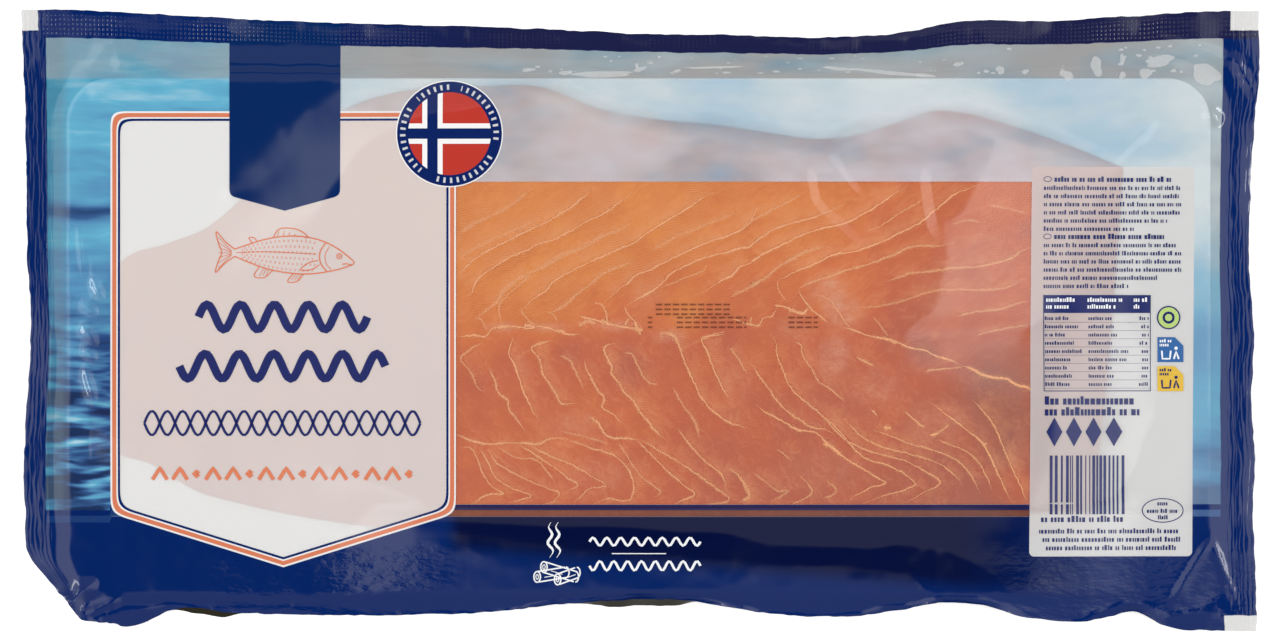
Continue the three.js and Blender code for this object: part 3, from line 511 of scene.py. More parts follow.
def grid_rim(columns, rows):
    """The numbers of a grid's edge points, anticlockwise from its first corner."""
    numbers = np.arange(columns * rows).reshape(columns, rows)
    return np.concatenate([numbers[:-1, 0], numbers[-1, :-1], numbers[:0:-1, -1], numbers[0, :0:-1]])


def ring_faces(first, second):
    """Quads between two rings of equally many points, anticlockwise when the second lies below the first."""
    return np.stack([first, second, np.roll(second, -1), np.roll(first, -1)], 1).tolist()


# ---------------------------------------------------------------------------------------------------------------------
# The film pouch
# ---------------------------------------------------------------------------------------------------------------------

def film_place(u, v):
    """Where a point of the flat front film lies in plan. Inside the INNER rectangle it stays where it was printed.
    Outside, its move grows evenly to the film's border, which goes to the cut edge with a small rag. At the lower left
    corner, which is folded in, the move starts further inside."""
    start = INNER["left"] + 20 * (1 - ramp(v, -100, -76))
    left = np.clip((start - u) / (start - FILM["left"]), 0, 1)
    right = np.clip((u - INNER["right"]) / (FILM["right"] - INNER["right"]), 0, 1)
    bottom = np.clip((INNER["bottom"] - v) / (INNER["bottom"] - FILM["bottom"]), 0, 1)
    top = np.clip((v - INNER["top"]) / (FILM["top"] - INNER["top"]), 0, 1)
    rag = 0.22 * swell(u, v, 2.1, 3) + 0.2 * swell(u, v, 6.5, 4)
    x = u + left * (curve_through(LEFT_EDGE, v) + rag - FILM["left"])
    x = x + right * (curve_through(RIGHT_EDGE, v) + rag - FILM["right"])
    y = v + bottom * (curve_through(BOTTOM_EDGE, u) + rag - FILM["bottom"])
    y = y + top * (curve_through(TOP_EDGE, u) + rag - FILM["top"])
    return x, y


def seal_height(u, v):
    """The height of the film outside the board: the seals' own, less a shallow dip along the right one, and the curl
    of the cut edges, which grows with a power of the share of the way out from the board, as wide and narrow folds
    across the edges do. The four sides' curls are added as the root of the sum of their squares."""
    # for each side: the share of the way out, its power, the curl's height, and its wide and its narrow folds
    sides = [
        ((v - 80) / 22, 1.6, curve_through(TOP_CURL, u), swell(u, v, 9, 11), swell(u, v / 3, 3.6, 12)),
        ((-88 - v) / 12, 3.0, curve_through(BOTTOM_CURL, u), swell(u, v, 10, 13), swell(u, v / 3, 3.8, 14)),
        ((-186 - u) / 14, 1.6, curve_through(LEFT_CURL, v), swell(u, v, 10, 15), swell(u / 3, v, 4, 16)),
        ((u - 185) / 15, 3.2, curve_through(RIGHT_CURL, v), swell(u, v, 10, 17), swell(u / 3, v, 4, 18)),
    ]
    total = 0
    for share, power, curl, wide, narrow in sides:
        share = np.clip(share, 0, 1)
        total = total + (share**power * (curl - SEAL_HEIGHT) * (1 + 0.35 * wide) + 0.12 * share * narrow) ** 2
    dip = 0.16 * ramp(u, 185, 191.5) * ramp(v, -88, -80) * (1 - ramp(v, 62, 78))
    return SEAL_HEIGHT - dip + np.sqrt(total)


def contents_height(x, y):
    """The top of what the front film is drawn on to: the board, with a slack step up to it that is widest on the
    right, and the slab on it."""
    on_board = ramp(board_inset(x, y), -5.0 - 3.5 * ramp(x, 150, 178), 1.5)
    return SEAL_HEIGHT + on_board * (BOARD["top"] - SEAL_HEIGHT) + film_rise(x, y)


def front_height(u, v, x, y):
    """The height of the front film: the seals', a step up on to the board, the contents' rise, and the film's own
    folds, which are wide and flat over the contents and narrower where it bridges to the board's edge. Where a fold
    would dip into the contents the film lies on them instead."""
    rest = contents_height(x, y)
    over_slab = ramp(slab_inset(x, y), -6, 4)
    margin = (1 - over_slab) * ramp(board_inset(x, y), -9, 0)
    folds = (1 - over_slab) * 0.08 * swell(x, y, 6, 21) * ramp(board_inset(x, y), -14, -2)
    folds = folds + margin * (0.11 * swell(x / 2.0, y, 5, 22) + 0.05 * swell(x, y, 3.2, 23))
    folds = folds + over_slab * (0.07 * swell(x, y, 24, 24) + 0.02 * swell(x, y, 8, 25))
    folds = folds + creases(x, y, FOLDS) + ledges(x, y) + seal_height(u, v) - SEAL_HEIGHT + top_fold(u, v)
    return rest + FILM_GAP + above(folds, math.sqrt(0.02))


def top_fold(u, v):
    """The film between the top seal and the board: it climbs inwards from the seal to a wiggly ridge, drops sharply
    behind it, and climbs again on to the board."""
    wiggle = 0.5 * swell(u, 0 * v, 5, 27) + 0.5 * swell(u, 0 * v, 14, 28)
    rise = curve_through([(70, 0), (78.5, 0), (80.7, -0.1), (83.0, 1.0), (88, 0.55), (92.3, 0), (102, 0)], v + wiggle)
    strong = ramp(u, -176, -150) * (1 - ramp(u, 165, 180)) * (1 - 0.6 * ramp(u, -90, -60))
    return rise * strong * (1 + 0.25 * swell(u, v, 20, 29))


def ledges(x, y):
    """The sum of the LEDGES: across each one's path the film climbs by 0.14 of its width, from the right of the path
    to its left, and sinks back to nothing over some 22 mm."""
    total = np.zeros(np.shape(x))
    for width, path in LEDGES:
        signed, share = beside(path, x, y)
        climb = ramp(signed, -width / 2, width / 2) * np.exp(-np.clip(signed - width / 2, 0, None) / 22)
        total = total + 0.14 * width * climb * ramp(share, 0, 0.15) * (1 - ramp(share, 0.58, 1))
    return total


def film_grid():
    """The places of the front film's columns and rows: closer in the seals, and beside the left one, than over the
    contents."""
    u = np.concatenate([
        np.linspace(-200, -184, 27)[:-1], np.linspace(-184, -169, 31)[:-1], np.linspace(-169, 184, 314)[:-1],
        np.linspace(184, 200, 27),
    ])
    v = np.concatenate([np.linspace(-100, -84, 21)[:-1], np.linspace(-84, 78, 145)[:-1], np.linspace(78, 102, 36)])
    return np.meshgrid(u, v, indexing="ij")


def film_pouch():
    """The sealed bag. Its front is the film grid. Its back is a set of rings that start at the front's border and run
    inwards just under it, come down to the table under the board, and are closed there by one flat face. The cut edge
    between the two is sharp."""
    u, v = film_grid()
    columns, rows = u.shape
    x, y = film_place(u, v)
    z = front_height(u, v, x, y)
    points = [np.stack([x, y, z], -1).reshape(-1, 3)]
    maps = [np.stack([u, v], -1).reshape(-1, 2)]
    faces = grid_faces(columns, rows)
    front_count = len(faces)
    rim = grid_rim(columns, rows)
    rim_u, rim_v = u.ravel()[rim], v.ravel()[rim]
    middle_u, middle_v = (FILM["left"] + FILM["right"]) / 2, (FILM["bottom"] + FILM["top"]) / 2
    before, count = rim, columns * rows
    for inwards in BACK_RINGS:
        ring_u = middle_u + (rim_u - middle_u) * (1 - inwards / (FILM["right"] - middle_u))
        ring_v = middle_v + (rim_v - middle_v) * (1 - inwards / (FILM["top"] - middle_v))
        ring_x, ring_y = film_place(ring_u, ring_v)
        under = ramp(board_inset(ring_x, ring_y), -4, 0.5)
        ring_z = (seal_height(ring_u, ring_v) - SEAL_GAP) * (1 - under) + TABLE_GAP * under
        out = back_edge_shows(ring_u, ring_v) * (1 - min(inwards / 6, 1))
        points.append(np.stack([ring_x, ring_y - out, np.maximum(ring_z, TABLE_GAP)], -1))
        maps.append(np.stack([ring_u, ring_v], -1))
        ring = count + np.arange(len(rim))
        faces += ring_faces(before, ring)
        before, count = ring, count + len(rim)
    faces.append(before[::-1].tolist())
    pouch = new_piece("film_pouch", np.concatenate(points), faces, {"print": np.concatenate(maps)})
    side = np.ones(len(faces), np.int32)
    side[:front_count] = 0
    pouch.data.polygons.foreach_set("material_index", side)
    edges = np.zeros(len(pouch.data.edges) * 2, np.int64)
    pouch.data.edges.foreach_get("vertices", edges)
    edges = edges.reshape(-1, 2)
    first_ring = columns * rows + np.arange(len(rim))
    sharp = pouch.data.attributes.new("sharp_edge", "BOOLEAN", "EDGE")
    sharp.data.foreach_set("value", np.isin(edges, rim).all(axis=1) | np.isin(edges, first_ring).all(axis=1))
    return pouch


def back_edge_shows(u, v):
    """How far the back film stands out beyond the front at the lower edge: two shallow humps of about 2 mm."""
    humps = 1.9 * ramp(u, -152, -144) * (1 - ramp(u, -136, -128)) + 2.3 * ramp(u, -22, -8) * (1 - ramp(u, 10, 20))
    return (1 - ramp(v, -97, -90)) * humps


def board():
    """The stiff board: a plate with round corners and edges broken by 0.2 mm, as rings of its outline at the profile's
    insets and heights."""
    count, edge = 240, 0.2
    angle = np.linspace(0, 2 * np.pi, count, endpoint=False)
    half_x, half_y, corner = BOARD["length"] / 2, BOARD["width"] / 2, BOARD["corner"]
    round_x, round_y = np.cos(angle), np.sin(angle)
    rings = []
    for inset, z in ((0.25, BOARD["low"]), (0, BOARD["low"] + edge), (0, BOARD["top"] - edge), (0.25, BOARD["top"])):
        radius = corner - inset
        x = BOARD["x"] + np.sign(round_x) * (half_x - corner) + radius * round_x
        y = BOARD["y"] + np.sign(round_y) * (half_y - corner) + radius * round_y
        rings.append(np.stack([x, y, np.full(count, z)], -1))
    faces = [list(range(count))[::-1]]
    for k in range(3):
        low = k * count + np.arange(count)
        faces += ring_faces(low + count, low)
    faces.append((3 * count + np.arange(count)).tolist())
    return new_piece("board", np.concatenate(rings), faces, smooth=False)


def smooth_path(points, step):
    """A smooth curve through points, with a place about every step along it, and each place's distance from the
    start."""
    points = np.asarray(points, float)
    place = np.concatenate([[0], np.cumsum(np.hypot(*np.diff(points, axis=0).T))])
    along = np.linspace(0, place[-1], max(3, int(place[-1] / step) + 1))
    return np.stack([curve_through(np.stack([place, points[:, k]], 1), along) for k in (0, 1)], 1), along


def left_of(path):
    """The unit vectors to the left of a path at its points, square to the way from the one before to the next."""
    turn = np.gradient(path, axis=0)
    return np.stack([-turn[:, 1], turn[:, 0]], 1) / (np.linalg.norm(turn, axis=1)[:, None] + 1e-9)


def marbling(x, y):
    """How light the flesh is beside the lines of fat that shade it: each adds exp(-distance / 3 mm) on its left, takes
    0.35 of that away on its right, as far as 11 mm off, does nothing on the line itself and fades out at both ends."""
    total, reach = np.zeros(np.shape(x)), 11
    for strength, _, shading, path in FAT_LINES:
        if shading < 0.15:
            continue
        path = np.asarray(path)
        near = (x > path[:, 0].min() - reach) & (x < path[:, 0].max() + reach)
        near &= (y > path[:, 1].min() - reach) & (y < path[:, 1].max() + reach)
        signed, share = beside(path, x[near], y[near])
        signed = signed + 0.5 * swell(x[near], y[near], 1.7, 33)
        fade = ramp(share, 0, 0.12) * (1 - ramp(share, 0.88, 1)) * strength**0.4 * shading
        light = np.exp(-np.abs(signed) / 3) * np.where(signed > 0, 1, -0.35)
        total[near] += fade * light * ramp(np.abs(signed), 0, 1)
    return total


def pale_flesh(x, y):
    """Where the flesh is paler, from 0 to 1: the sum of the PALE_FLESH spots, each fading by exp(-d^3) with the
    distance d in its half widths, broken by noise."""
    total = np.zeros(np.shape(x))
    for cx, cy, wide, tall, amount in PALE_FLESH:
        total = total + amount * np.exp(-(((x - cx) / wide) ** 2 + ((y - cy) / tall) ** 2) ** 1.5)
    return np.clip(total * (1 + 0.5 * swell(x, y, 2.4, 34)), 0, 1)


def flesh_tone(x, y):
    """The flesh's warmth: yellower up and to the left, redder down and to the right, with each FLESH_TONES spot added
    as exp(-(distance / reach)^2) and a soft mottle."""
    tone = 0.16 + (y + 5) / 150 - (x - 20) / 420
    for cx, cy, reach, amount in FLESH_TONES:
        tone = tone + amount * np.exp(-((x - cx) ** 2 + (y - cy) ** 2) / reach**2)
    return tone + 0.10 * swell(x, y, 13, 31) + 0.08 * swell(x, y, 5, 32)


def salmon_slices():
    """The slab of slices. Its top is a grid between the slab's lower and upper edge, a little higher where the flesh
    between two lines of fat is lighter. Its side goes down round it as a stack of slice edges, each bulging by half a
    sine wave, with painted light on the upper half of each edge and painted shade on its lower half, and one flat face
    closes it below."""
    columns, rows = 430, 172
    a, b = np.meshgrid(np.linspace(0, 1, columns), np.linspace(0, 1, rows), indexing="ij")
    x = SLAB_LEFT + a * (curve_through(SLAB_RIGHT, b) - SLAB_LEFT)
    low, high = curve_through(SLAB_LOW, x), curve_through(SLAB_HIGH, x)
    y = low + b * (high - low)
    veins_and_edge_shade = marbling(x, y)
    z = SLAB_BASE + slab_rise(x, y) - 0.08 * ramp(a, 0, 0.02) + 0.03 * np.clip(veins_and_edge_shade, -1, 1)
    points = [np.stack([x, y, z], -1).reshape(-1, 3)]
    flesh = [np.stack([veins_and_edge_shade, flesh_tone(x, y), pale_flesh(x, y)], -1).reshape(-1, 3)]
    faces = grid_faces(columns, rows)
    rim = grid_rim(columns, rows)
    before, count = rim, columns * rows
    edge = points[0][rim]
    outward = edge[:, :2] - np.array([-10.0, 0.0])
    outward /= np.linalg.norm(outward, axis=1)[:, None]
    along = np.arange(len(rim)) / len(rim) * 2 * np.pi
    for step in np.linspace(0, 1, 4 * SLICES + 1)[1:]:
        layer = step * SLICES
        bulge = 0.5 * np.sin(layer % 1 * np.pi) - 0.25 * np.sin(5 * along + 9 * np.floor(layer - 0.01))
        ring = edge.copy()
        ring[:, :2] += outward * bulge[:, None]
        ring[:, 2] = SLAB_BASE + (edge[:, 2] - SLAB_BASE) * (1 - step)
        points.append(ring)
        # painted light and shade on each slice edge: lighter at its top, darker at its bottom, in the flesh map's first
        # channel
        light = np.full(len(rim), 0.3 * math.cos(layer % 1 * np.pi))
        flesh.append(np.stack([light, flesh[0][rim, 1], 0 * along], -1))
        numbers = count + np.arange(len(rim))
        faces += ring_faces(before, numbers)
        before, count = numbers, count + len(rim)
    faces.append(before[::-1].tolist())
    return new_piece("salmon_slices", np.concatenate(points), faces, {"flesh": np.concatenate(flesh)})


def fat_strands():
    """The lines of fat, as ribbons that follow them over the top slice: five points across, raised in the middle, with
    a jitter of some 0.2 mm, and the width swelling by noise along the line and running out at its ends. Faint lines
    are wider."""
    points, maps, faces, count = [], [], [], 0
    sides = (-1, -0.5, 0, 0.5, 1)
    for number, (strength, width, _, path) in enumerate(FAT_LINES):
        path, along = smooth_path(path, 0.5)
        across = left_of(path)
        path = path + np.stack([
            0.16 * swell(along, number * 9, 1.3, seed) + 0.07 * swell(along, number * 9, 0.6, seed) for seed in (41, 42)
        ], 1)
        share = along / along[-1]
        ends = ramp(share, 0, 0.1) * (1 - ramp(share, 0.85, 1))
        swelling = (1 + 0.5 * swell(along, number * 5, 3.0, 43)) * (0.35 + 0.65 * ends)
        half = width * (1.5 + 1.3 * (1 - strength)) * swelling
        for side in sides:
            place = path + across * (side * half)[:, None]
            lift = FAT_LIFT["side"] + FAT_LIFT["middle"] * (1 - abs(side))
            points.append(np.column_stack([place, SLAB_BASE + slab_rise(*place.T) + lift]))
            strand = [np.full(len(along), side), along + number * 37, strength * (0.3 + 0.7 * ends)]
            maps.append(np.column_stack(strand))
        faces += grid_faces(len(sides), len(along), count)
        count += len(sides) * len(along)
    # a grid's columns run from the right side of a line to its left here, so its faces are turned over
    faces = [face[::-1] for face in faces]
    return new_piece("fat_strands", np.concatenate(points), faces, {"strand": np.concatenate(maps)})


# ---------------------------------------------------------------------------------------------------------------------
# The fine print: thin patches of ink that lie on the front film
# ---------------------------------------------------------------------------------------------------------------------

# The inks: their material's name, colour and opacity.
INKS = {
    "navy": ("navy ink", (0.012, 0.020, 0.12), 0.92), "orange": ("orange ink", (0.68, 0.20, 0.10), 0.88),
    "white": ("white ink", (0.85, 0.87, 0.9), 0.9), "blue": ("blue ink", (0.035, 0.13, 0.36), 0.88),
    "yellow": ("yellow ink", (0.72, 0.47, 0.06), 0.88), "stamp": ("stamp ink", (0.10, 0.028, 0.020), 0.66),
    "green": ("green ink", (0.50, 0.66, 0.22), 0.85), "pocket": ("seal pocket", (0.72, 0.74, 0.75), 0.46),
}


class Press:
    """Collects patches of ink in the flat film's coordinates and lays them on the film as one piece. Each patch lies as
    far over the film as `lift` says, in millimetres, when it is added."""

    def __init__(self):
        self.points, self.lifts, self.faces, self.inks, self.count = [], [], [], [], 0
        self.lift = INK_LIFT["film"]

    def patch(self, ink, rows):
        """A patch of ink through rows of equally many points, from the row at its left side to that at its right."""
        self.points += rows
        self.lifts.append(np.full(len(rows) * len(rows[0]), self.lift))
        faces = grid_faces(len(rows), len(rows[0]), self.count)
        self.faces += faces
        self.inks += [list(INKS).index(ink)] * len(faces)
        self.count += len(rows) * len(rows[0])

    def line(self, ink, points, width, smooth=True, taper=0.0):
        """A line of ink of a given width along points. With a taper both of its ends narrow over that share."""
        if smooth and len(points) > 2:
            path, _ = smooth_path(points, max(0.25, min(1.0, width)))
        else:
            path = np.concatenate([
                np.linspace(a, b, max(2, int(math.dist(a, b)) + 1))[:-1] for a, b in zip(points[:-1], points[1:])
            ] + [np.array([points[-1]], float)])
        share = np.linspace(0, 1, len(path))
        half = width / 2 * np.ones(len(path))
        if taper:
            half = half * (0.15 + 0.85 * ramp(share, 0, taper) * (1 - ramp(share, 1 - taper, 1)))
        across = left_of(path) * half[:, None]
        self.patch(ink, [path + across * side for side in np.linspace(1, -1, int(width / 1.2) + 2)])

    def block(self, ink, left, right, low, high):
        """A plain rectangle of ink."""
        middle = (low + high) / 2
        self.line(ink, [(left, middle), (right, middle)], high - low, smooth=False)

    def sheet(self, ink, first, second, rows=6):
        """A patch of ink between two lines of equally many points, which run the same way."""
        self.patch(ink, [first * (1 - share) + second * share for share in np.linspace(1, 0, rows)])

    def disc(self, ink, x, y, radius_x, radius_y, ragged=0.0, seed=0, turn=0.0):
        """A round patch of ink, turned by an angle. A ragged one's radius wavers by that share, in three waves."""
        angle = np.linspace(0, 2 * np.pi, 25)
        phase = np.random.default_rng(seed).uniform(0, 6.28, 3)
        radius = 1 + ragged * sum(np.sin(k * angle + p) / k for k, p in zip((2, 3, 5), phase))
        rim = np.stack([radius_x * radius * np.cos(angle), radius_y * radius * np.sin(angle)], 1)
        rim = rim @ np.array([[math.cos(turn), math.sin(turn)], [-math.sin(turn), math.cos(turn)]])
        self.sheet(ink, rim + (x, y), rim * 0.02 + (x, y), 3)

    def ring(self, ink, x, y, radius_x, radius_y, width, start=0.0, end=360.0):
        """A line of ink along an ellipse, or a part of one, from angle start to end."""
        angle = np.radians(np.linspace(start, end, max(9, int(abs(end - start) / 12) + 1)))
        self.line(ink, np.stack([x + radius_x * np.cos(angle), y + radius_y * np.sin(angle)], 1), width)

    def marks(self, ink, left, right, low, high, seed, words=5.0, stroke=1.0):
        """A row of small upright marks in groups, standing in for a line of small print. The marks are between 0.31
        and 0.66 of the row's height wide, times the stroke, a few are taller, and words is how many of them a group
        has on average."""
        random = np.random.default_rng(seed)
        tall, at, group = high - low, left, 0
        while at < right - tall * 0.4:
            width = min(tall * random.uniform(0.40, 0.85), right - at)
            up = high + (tall * 0.35 if random.random() < 0.18 else 0)
            self.block(ink, at, at + width * 0.78 * stroke, low, up)
            at += width + tall * 0.12
            group += 1
            if group > 1 and random.random() < 1 / words:
                at += tall * 0.55
                group = 0

    def piece(self, name):
        """All the patches as one mesh, laid on the film."""
        u, v = np.concatenate(self.points).T
        x, y = film_place(u, v)
        z = front_height(u, v, x, y) + np.concatenate(self.lifts)
        made = new_piece(name, np.stack([x, y, z], 1), self.faces, {"print": np.stack([u, v], 1)})
        made.data.polygons.foreach_set("material_index", np.array(self.inks, np.int32))
        return made


def waves(press, ink, width, left, right, middle, height, turns, start, count):
    """A line through count points from left to right: middle + height * sin(2 pi * (turns * share of the way +
    start))."""
    share = np.linspace(0, 1, count)
    wave = height * np.sin(2 * np.pi * (turns * share + start))
    press.line(ink, np.stack([left + (right - left) * share, middle + wave], 1), width)


def shield_print(press):
    """The panel's ornaments: two rows of bold waves, a lattice of two thin ones and a row of chevrons with dots, and
    above them a plain line drawing of a fish."""
    waves(press, "navy", 2.7, -142.7, -88.0, 1.3, 4.1, 5, 0.0, 81)
    waves(press, "navy", 2.7, -148.9, -82.2, -14.6, 4.1, 6, 0.5, 97)
    for start in (0.0, 0.5):
        waves(press, "navy", 0.85, -160.2, -70.9, -33.0, 3.9, 9, start, 161)
    x, y = -157.6, -49.4
    for number in range(15):
        if number % 3 == 2:
            press.ring("orange", x + 1.2, y, 0.75, 0.75, 1.5)
            x += 4.2
        else:
            press.line("orange", [(x, y - 1.9), (x + 2.4, y + 1.9), (x + 4.8, y - 1.9)], 1.25, smooth=False)
            x += 6.5
    fish(press)


def fish(press):
    """A fish in side view, its head to the right: two curves for the body, a forked tail, fins with rays, the gill
    cover, mouth and eye, a line along its side and rows of short scale marks between the body's curves."""
    def draw(width, *points, smooth=True):
        press.line("orange", points, width, smooth)

    back = [(-131, 23.2), (-127, 24.6), (-121, 26.4), (-114, 27.4), (-107, 27), (-101, 25.2), (-96.5, 22.6),
            (-92.6, 19.4)]
    belly = [(-131, 20.9), (-127, 19.2), (-121, 17), (-114, 15.6), (-107, 15.2), (-101, 15.9), (-96.5, 16.9),
             (-92.9, 18.2)]
    draw(0.42, *back)
    draw(0.42, *belly)
    draw(0.36, (-92.6, 19.4), (-92.3, 18.8), (-92.9, 18.2), (-94.8, 18.5), (-96.2, 18.3))
    draw(0.38, (-131, 23.2), (-134, 25.6), (-137, 28.8), (-136.2, 25), (-135.2, 22.2), (-136.4, 19), (-137.2, 15.8),
         (-134, 18.8), (-131, 20.9))
    for k in range(7):
        draw(0.2, (-132, 22.6 - k * 0.2), (-136.2, 27 - k * 1.65), smooth=False)
    draw(0.36, (-118.5, 27), (-117, 29.4), (-113, 30), (-108.5, 28.4), (-107, 27))
    for k in range(6):
        draw(0.22, (-117.2 + k * 1.8, 27.2), (-116.6 + k * 1.75, 29.2 - 0.12 * k * k), smooth=False)
    draw(0.34, (-125.4, 25.3), (-126.4, 26.9), (-124.6, 26.8), (-123.8, 25.8))
    draw(0.34, (-123, 17.7), (-124.6, 14.4), (-121.6, 14), (-118.6, 16.4))
    draw(0.34, (-112, 15.4), (-113.8, 12.7), (-110.8, 12.8), (-108.6, 15.2))
    for k in range(3):
        draw(0.2, (-121.6 + k * 0.9, 17), (-123 + k * 1.1, 14.6), smooth=False)
        draw(0.2, (-111.2 + k * 0.9, 15.2), (-112.6 + k, 13.2), smooth=False)
    draw(0.4, (-101.6, 25.2), (-103.4, 22), (-103.2, 18.8), (-101.2, 16))
    draw(0.24, (-100.2, 24.2), (-101.6, 21.6), (-101.4, 18.6), (-99.8, 16.6))
    draw(0.34, (-104, 19.6), (-107.4, 18.6), (-109.6, 16.6), (-105.6, 16.8), (-103.6, 18.2))
    press.ring("orange", -97.1, 20.9, 0.85, 0.85, 0.32)
    press.ring("orange", -97.1, 20.9, 0.25, 0.25, 0.5)
    draw(0.26, (-130.5, 22.1), (-122, 22.4), (-112, 22), (-104.6, 21.6))
    column, row = (part.ravel() for part in np.meshgrid(np.arange(17), np.arange(6), indexing="ij"))
    x = -128.5 + column * 1.42 + row % 2 * 0.7
    share = (row + 0.6) / 6.4
    y = curve_through(belly, x) * (1 - share) + curve_through(back, x) * share
    for px, py in zip(x[x < -105], y[x < -105]):
        draw(0.17, (px - 0.25, py + 0.36), (px + 0.2, py), (px - 0.25, py - 0.36))


def low_print(press):
    """On the navy field: a small figure of stacked logs with smoke over them, and two rows of small waves with a rule
    between them."""
    for x, y, length, tilt in ((-33.2, -82.6, 9.4, 0.16), (-31.0, -79.4, 10.6, -0.30), (-26.6, -83.4, 6.6, 0.34)):
        along = np.array([math.cos(tilt), math.sin(tilt)])
        near, across = np.array([x, y]), np.array([-along[1], along[0]]) * 1.7
        far = near + length * along
        for side in (-across, across):
            press.line("white", [near + side, far + side], 0.45, smooth=False)
        press.ring("white", *near, 1.05, 1.75, 0.45)
        press.ring("white", *near, 0.4, 0.8, 0.3)
        press.ring("white", *far, 1.05, 1.75, 0.45, -90, 90)
        press.line("white", [near + 2.4 * along - (0, 0.5), near + 6.2 * along - (0, 0.5)], 0.25, smooth=False)
    smoke = np.array([(0, -76.4), (1.2, -74.2), (-0.6, -71.6), (0.9, -68.8), (-0.3, -66.4), (0.5, -64.9)])
    for x in (-29.2, -26.9):
        press.line("white", smoke + (x, 0), 0.85, taper=0.35)
    waves(press, "white", 0.8, -16.3, 19.5, -71.2, 1.3, 8, 0.0, 113)
    waves(press, "white", 0.8, -16.3, 19.5, -79.0, 1.5, 8, 0.5, 113)
    press.block("white", -9.1, 8.4, -75.2, -74.9)


def label_print(press):
    """The label, from its head to its foot. Its last rows start further to the left, because it leans."""
    label_text(press)
    label_table(press)
    label_signs(press)
    label_foot(press)


def label_text(press):
    """Fourteen rows of small marks. Two of them are bold, with a small oval before them."""
    ends = (172, 175.1, 174.5, 175.1, 175.1, 171, 160, 170, 174, 175.1, 175, 175.1, 168, 158)
    for row, end in enumerate(ends):
        y = 45.3 - row * 2.64
        bold = row in (0, 7)
        if bold:
            press.ring("navy", 131.6, y + 0.5, 1.25, 0.8, 0.2)
        start, tall, stroke = (133.8, 0.95, 1.12) if bold else (130.4, 0.72, 0.9)
        press.marks("navy", start, end, y - 0.35, y + tall, 50 + row, stroke=stroke)


def label_table(press):
    """A table: its dark head with pale marks, nine ruled rows of marks in three columns, and its frame."""
    left, right, foot, head, top = 130.4, 165.0, -22.6, 2.6, 8.4
    press.block("navy", left, right, head, top)
    press.lift = INK_LIFT["ink"]
    for row, y in enumerate((6.6, 4.4)):
        for start, end in ((131.2, 141), (144.6, 156), (159.6, 164.2)):
            press.marks("white", start, end - row * 2.2, y - 0.4, y + 0.65, 80 + row * 3 + int(start), 8)
    press.lift = INK_LIFT["film"]
    for row in range(9):
        y = 0.6 - row * 2.66
        for number, (start, end) in enumerate(((130.8, 143.5), (144.9, 158.5), (161.3, 164.6))):
            random = np.random.default_rng(100 + row * 3 + number)
            start = start if number < 2 else start + random.uniform(0, 1.2)
            end = end if number == 2 else end - random.uniform(0, 6)
            press.marks("navy", start, end, y - 0.3, y + 0.6, 120 + row * 3 + number, 6, 0.9)
        press.block("navy", left, right, y - 1.05, y - 0.97)
    for x in (left, right):
        press.block("navy", x - 0.12, x + 0.12, foot, top)
    press.block("navy", left - 0.1, right + 0.1, foot - 0.1, foot + 0.15)


def label_signs(press):
    """Two plain signs with one corner cut off, each with two rows of marks, a bin and a figure, and a round one."""
    for ink, mark, high in (("blue", "white", -5.2), ("yellow", "navy", -14.6)):
        rise = high + np.array([-8.1, -6.0, -4.0, -2.8, -1.4, 0.0])
        cut = np.array([175.7, 175.7, 175.7, 175.7, 174.3, 172.9])
        press.lift = INK_LIFT["film"]
        press.sheet(ink, np.stack([cut, rise], 1), np.stack([np.full(6, 167.3), rise], 1), 8)
        press.lift = INK_LIFT["ink"]
        press.marks(mark, 168, 172, high - 1.7, high - 0.9, 170, 9)
        press.marks(mark, 168, 171, high - 3.0, high - 2.2, 171, 9)
        bin_side = [(168.7, high - 4.4), (168.9, high - 7.0), (171.3, high - 7.0), (171.6, high - 4.4)]
        press.line(mark, bin_side, 0.55, smooth=False)
        press.line(mark, [(172.6, high - 7.1), (173.3, high - 4.6), (174.2, high - 7.1)], 0.55, smooth=False)
        press.disc(mark, 173.3, high - 3.6, 0.55, 0.55)
    for lift, ink, radius in (("film", "navy", 3.8), ("ink", "green", 3.35)):
        press.lift = INK_LIFT[lift]
        press.disc(ink, 170.9, 1.1, radius, radius)
    press.lift = INK_LIFT["top"]
    press.ring("navy", 170.9, 1.1, 1.6, 1.6, 0.8)
    press.lift = INK_LIFT["film"]


def label_foot(press):
    """Two bolder rows of marks, four diamonds, a block of stripes, an oval with rows in it and the last rows."""
    for low, right in ((-27.0, 160.6), (-30.5, 161.8)):
        press.marks("navy", 130.6, right, low, low + 2.0, 190 + int(low), 7, 1.15)
    for left, right in ((131.1, 136.3), (137.4, 142.7), (143.8, 149.1), (150.3, 155.9)):
        middle = (left + right) / 2
        spread = (right - left) / 2 * np.array([0.03, 0.5, 1.0, 0.5, 0.03])
        rise = np.linspace(-40.4, -31.2, 5)
        press.sheet("navy", np.stack([middle + spread, rise], 1), np.stack([middle - spread, rise], 1))
    random = np.random.default_rng(7)
    at, unit = 132.2, 0.33
    while at < 157.2:
        wide = unit * random.integers(1, 4)
        press.block("navy", at, at + wide * 0.92, -62.4, -43.4)
        at += wide + unit * random.integers(1, 4)
    press.marks("navy", 129.4, 157.0, -64.9, -63.4, 210, 6)
    press.ring("navy", 168.9, -61.2, 6.6, 3.8, 0.3)
    for low, left, right in ((-59.6, 167.2, 170.6), (-62.0, 163.8, 174.0), (-64.1, 167.4, 170.6)):
        press.marks("navy", left, right, low, low + 1.0, 220 + int(low), 9)
    for row, right in enumerate((175.2, 175.0, 173.6)):
        press.marks("navy", 128.8 + row * 1.1, right, -68.6 - row * 2.7, -67.4 - row * 2.7, 230 + row, 6, 0.95)


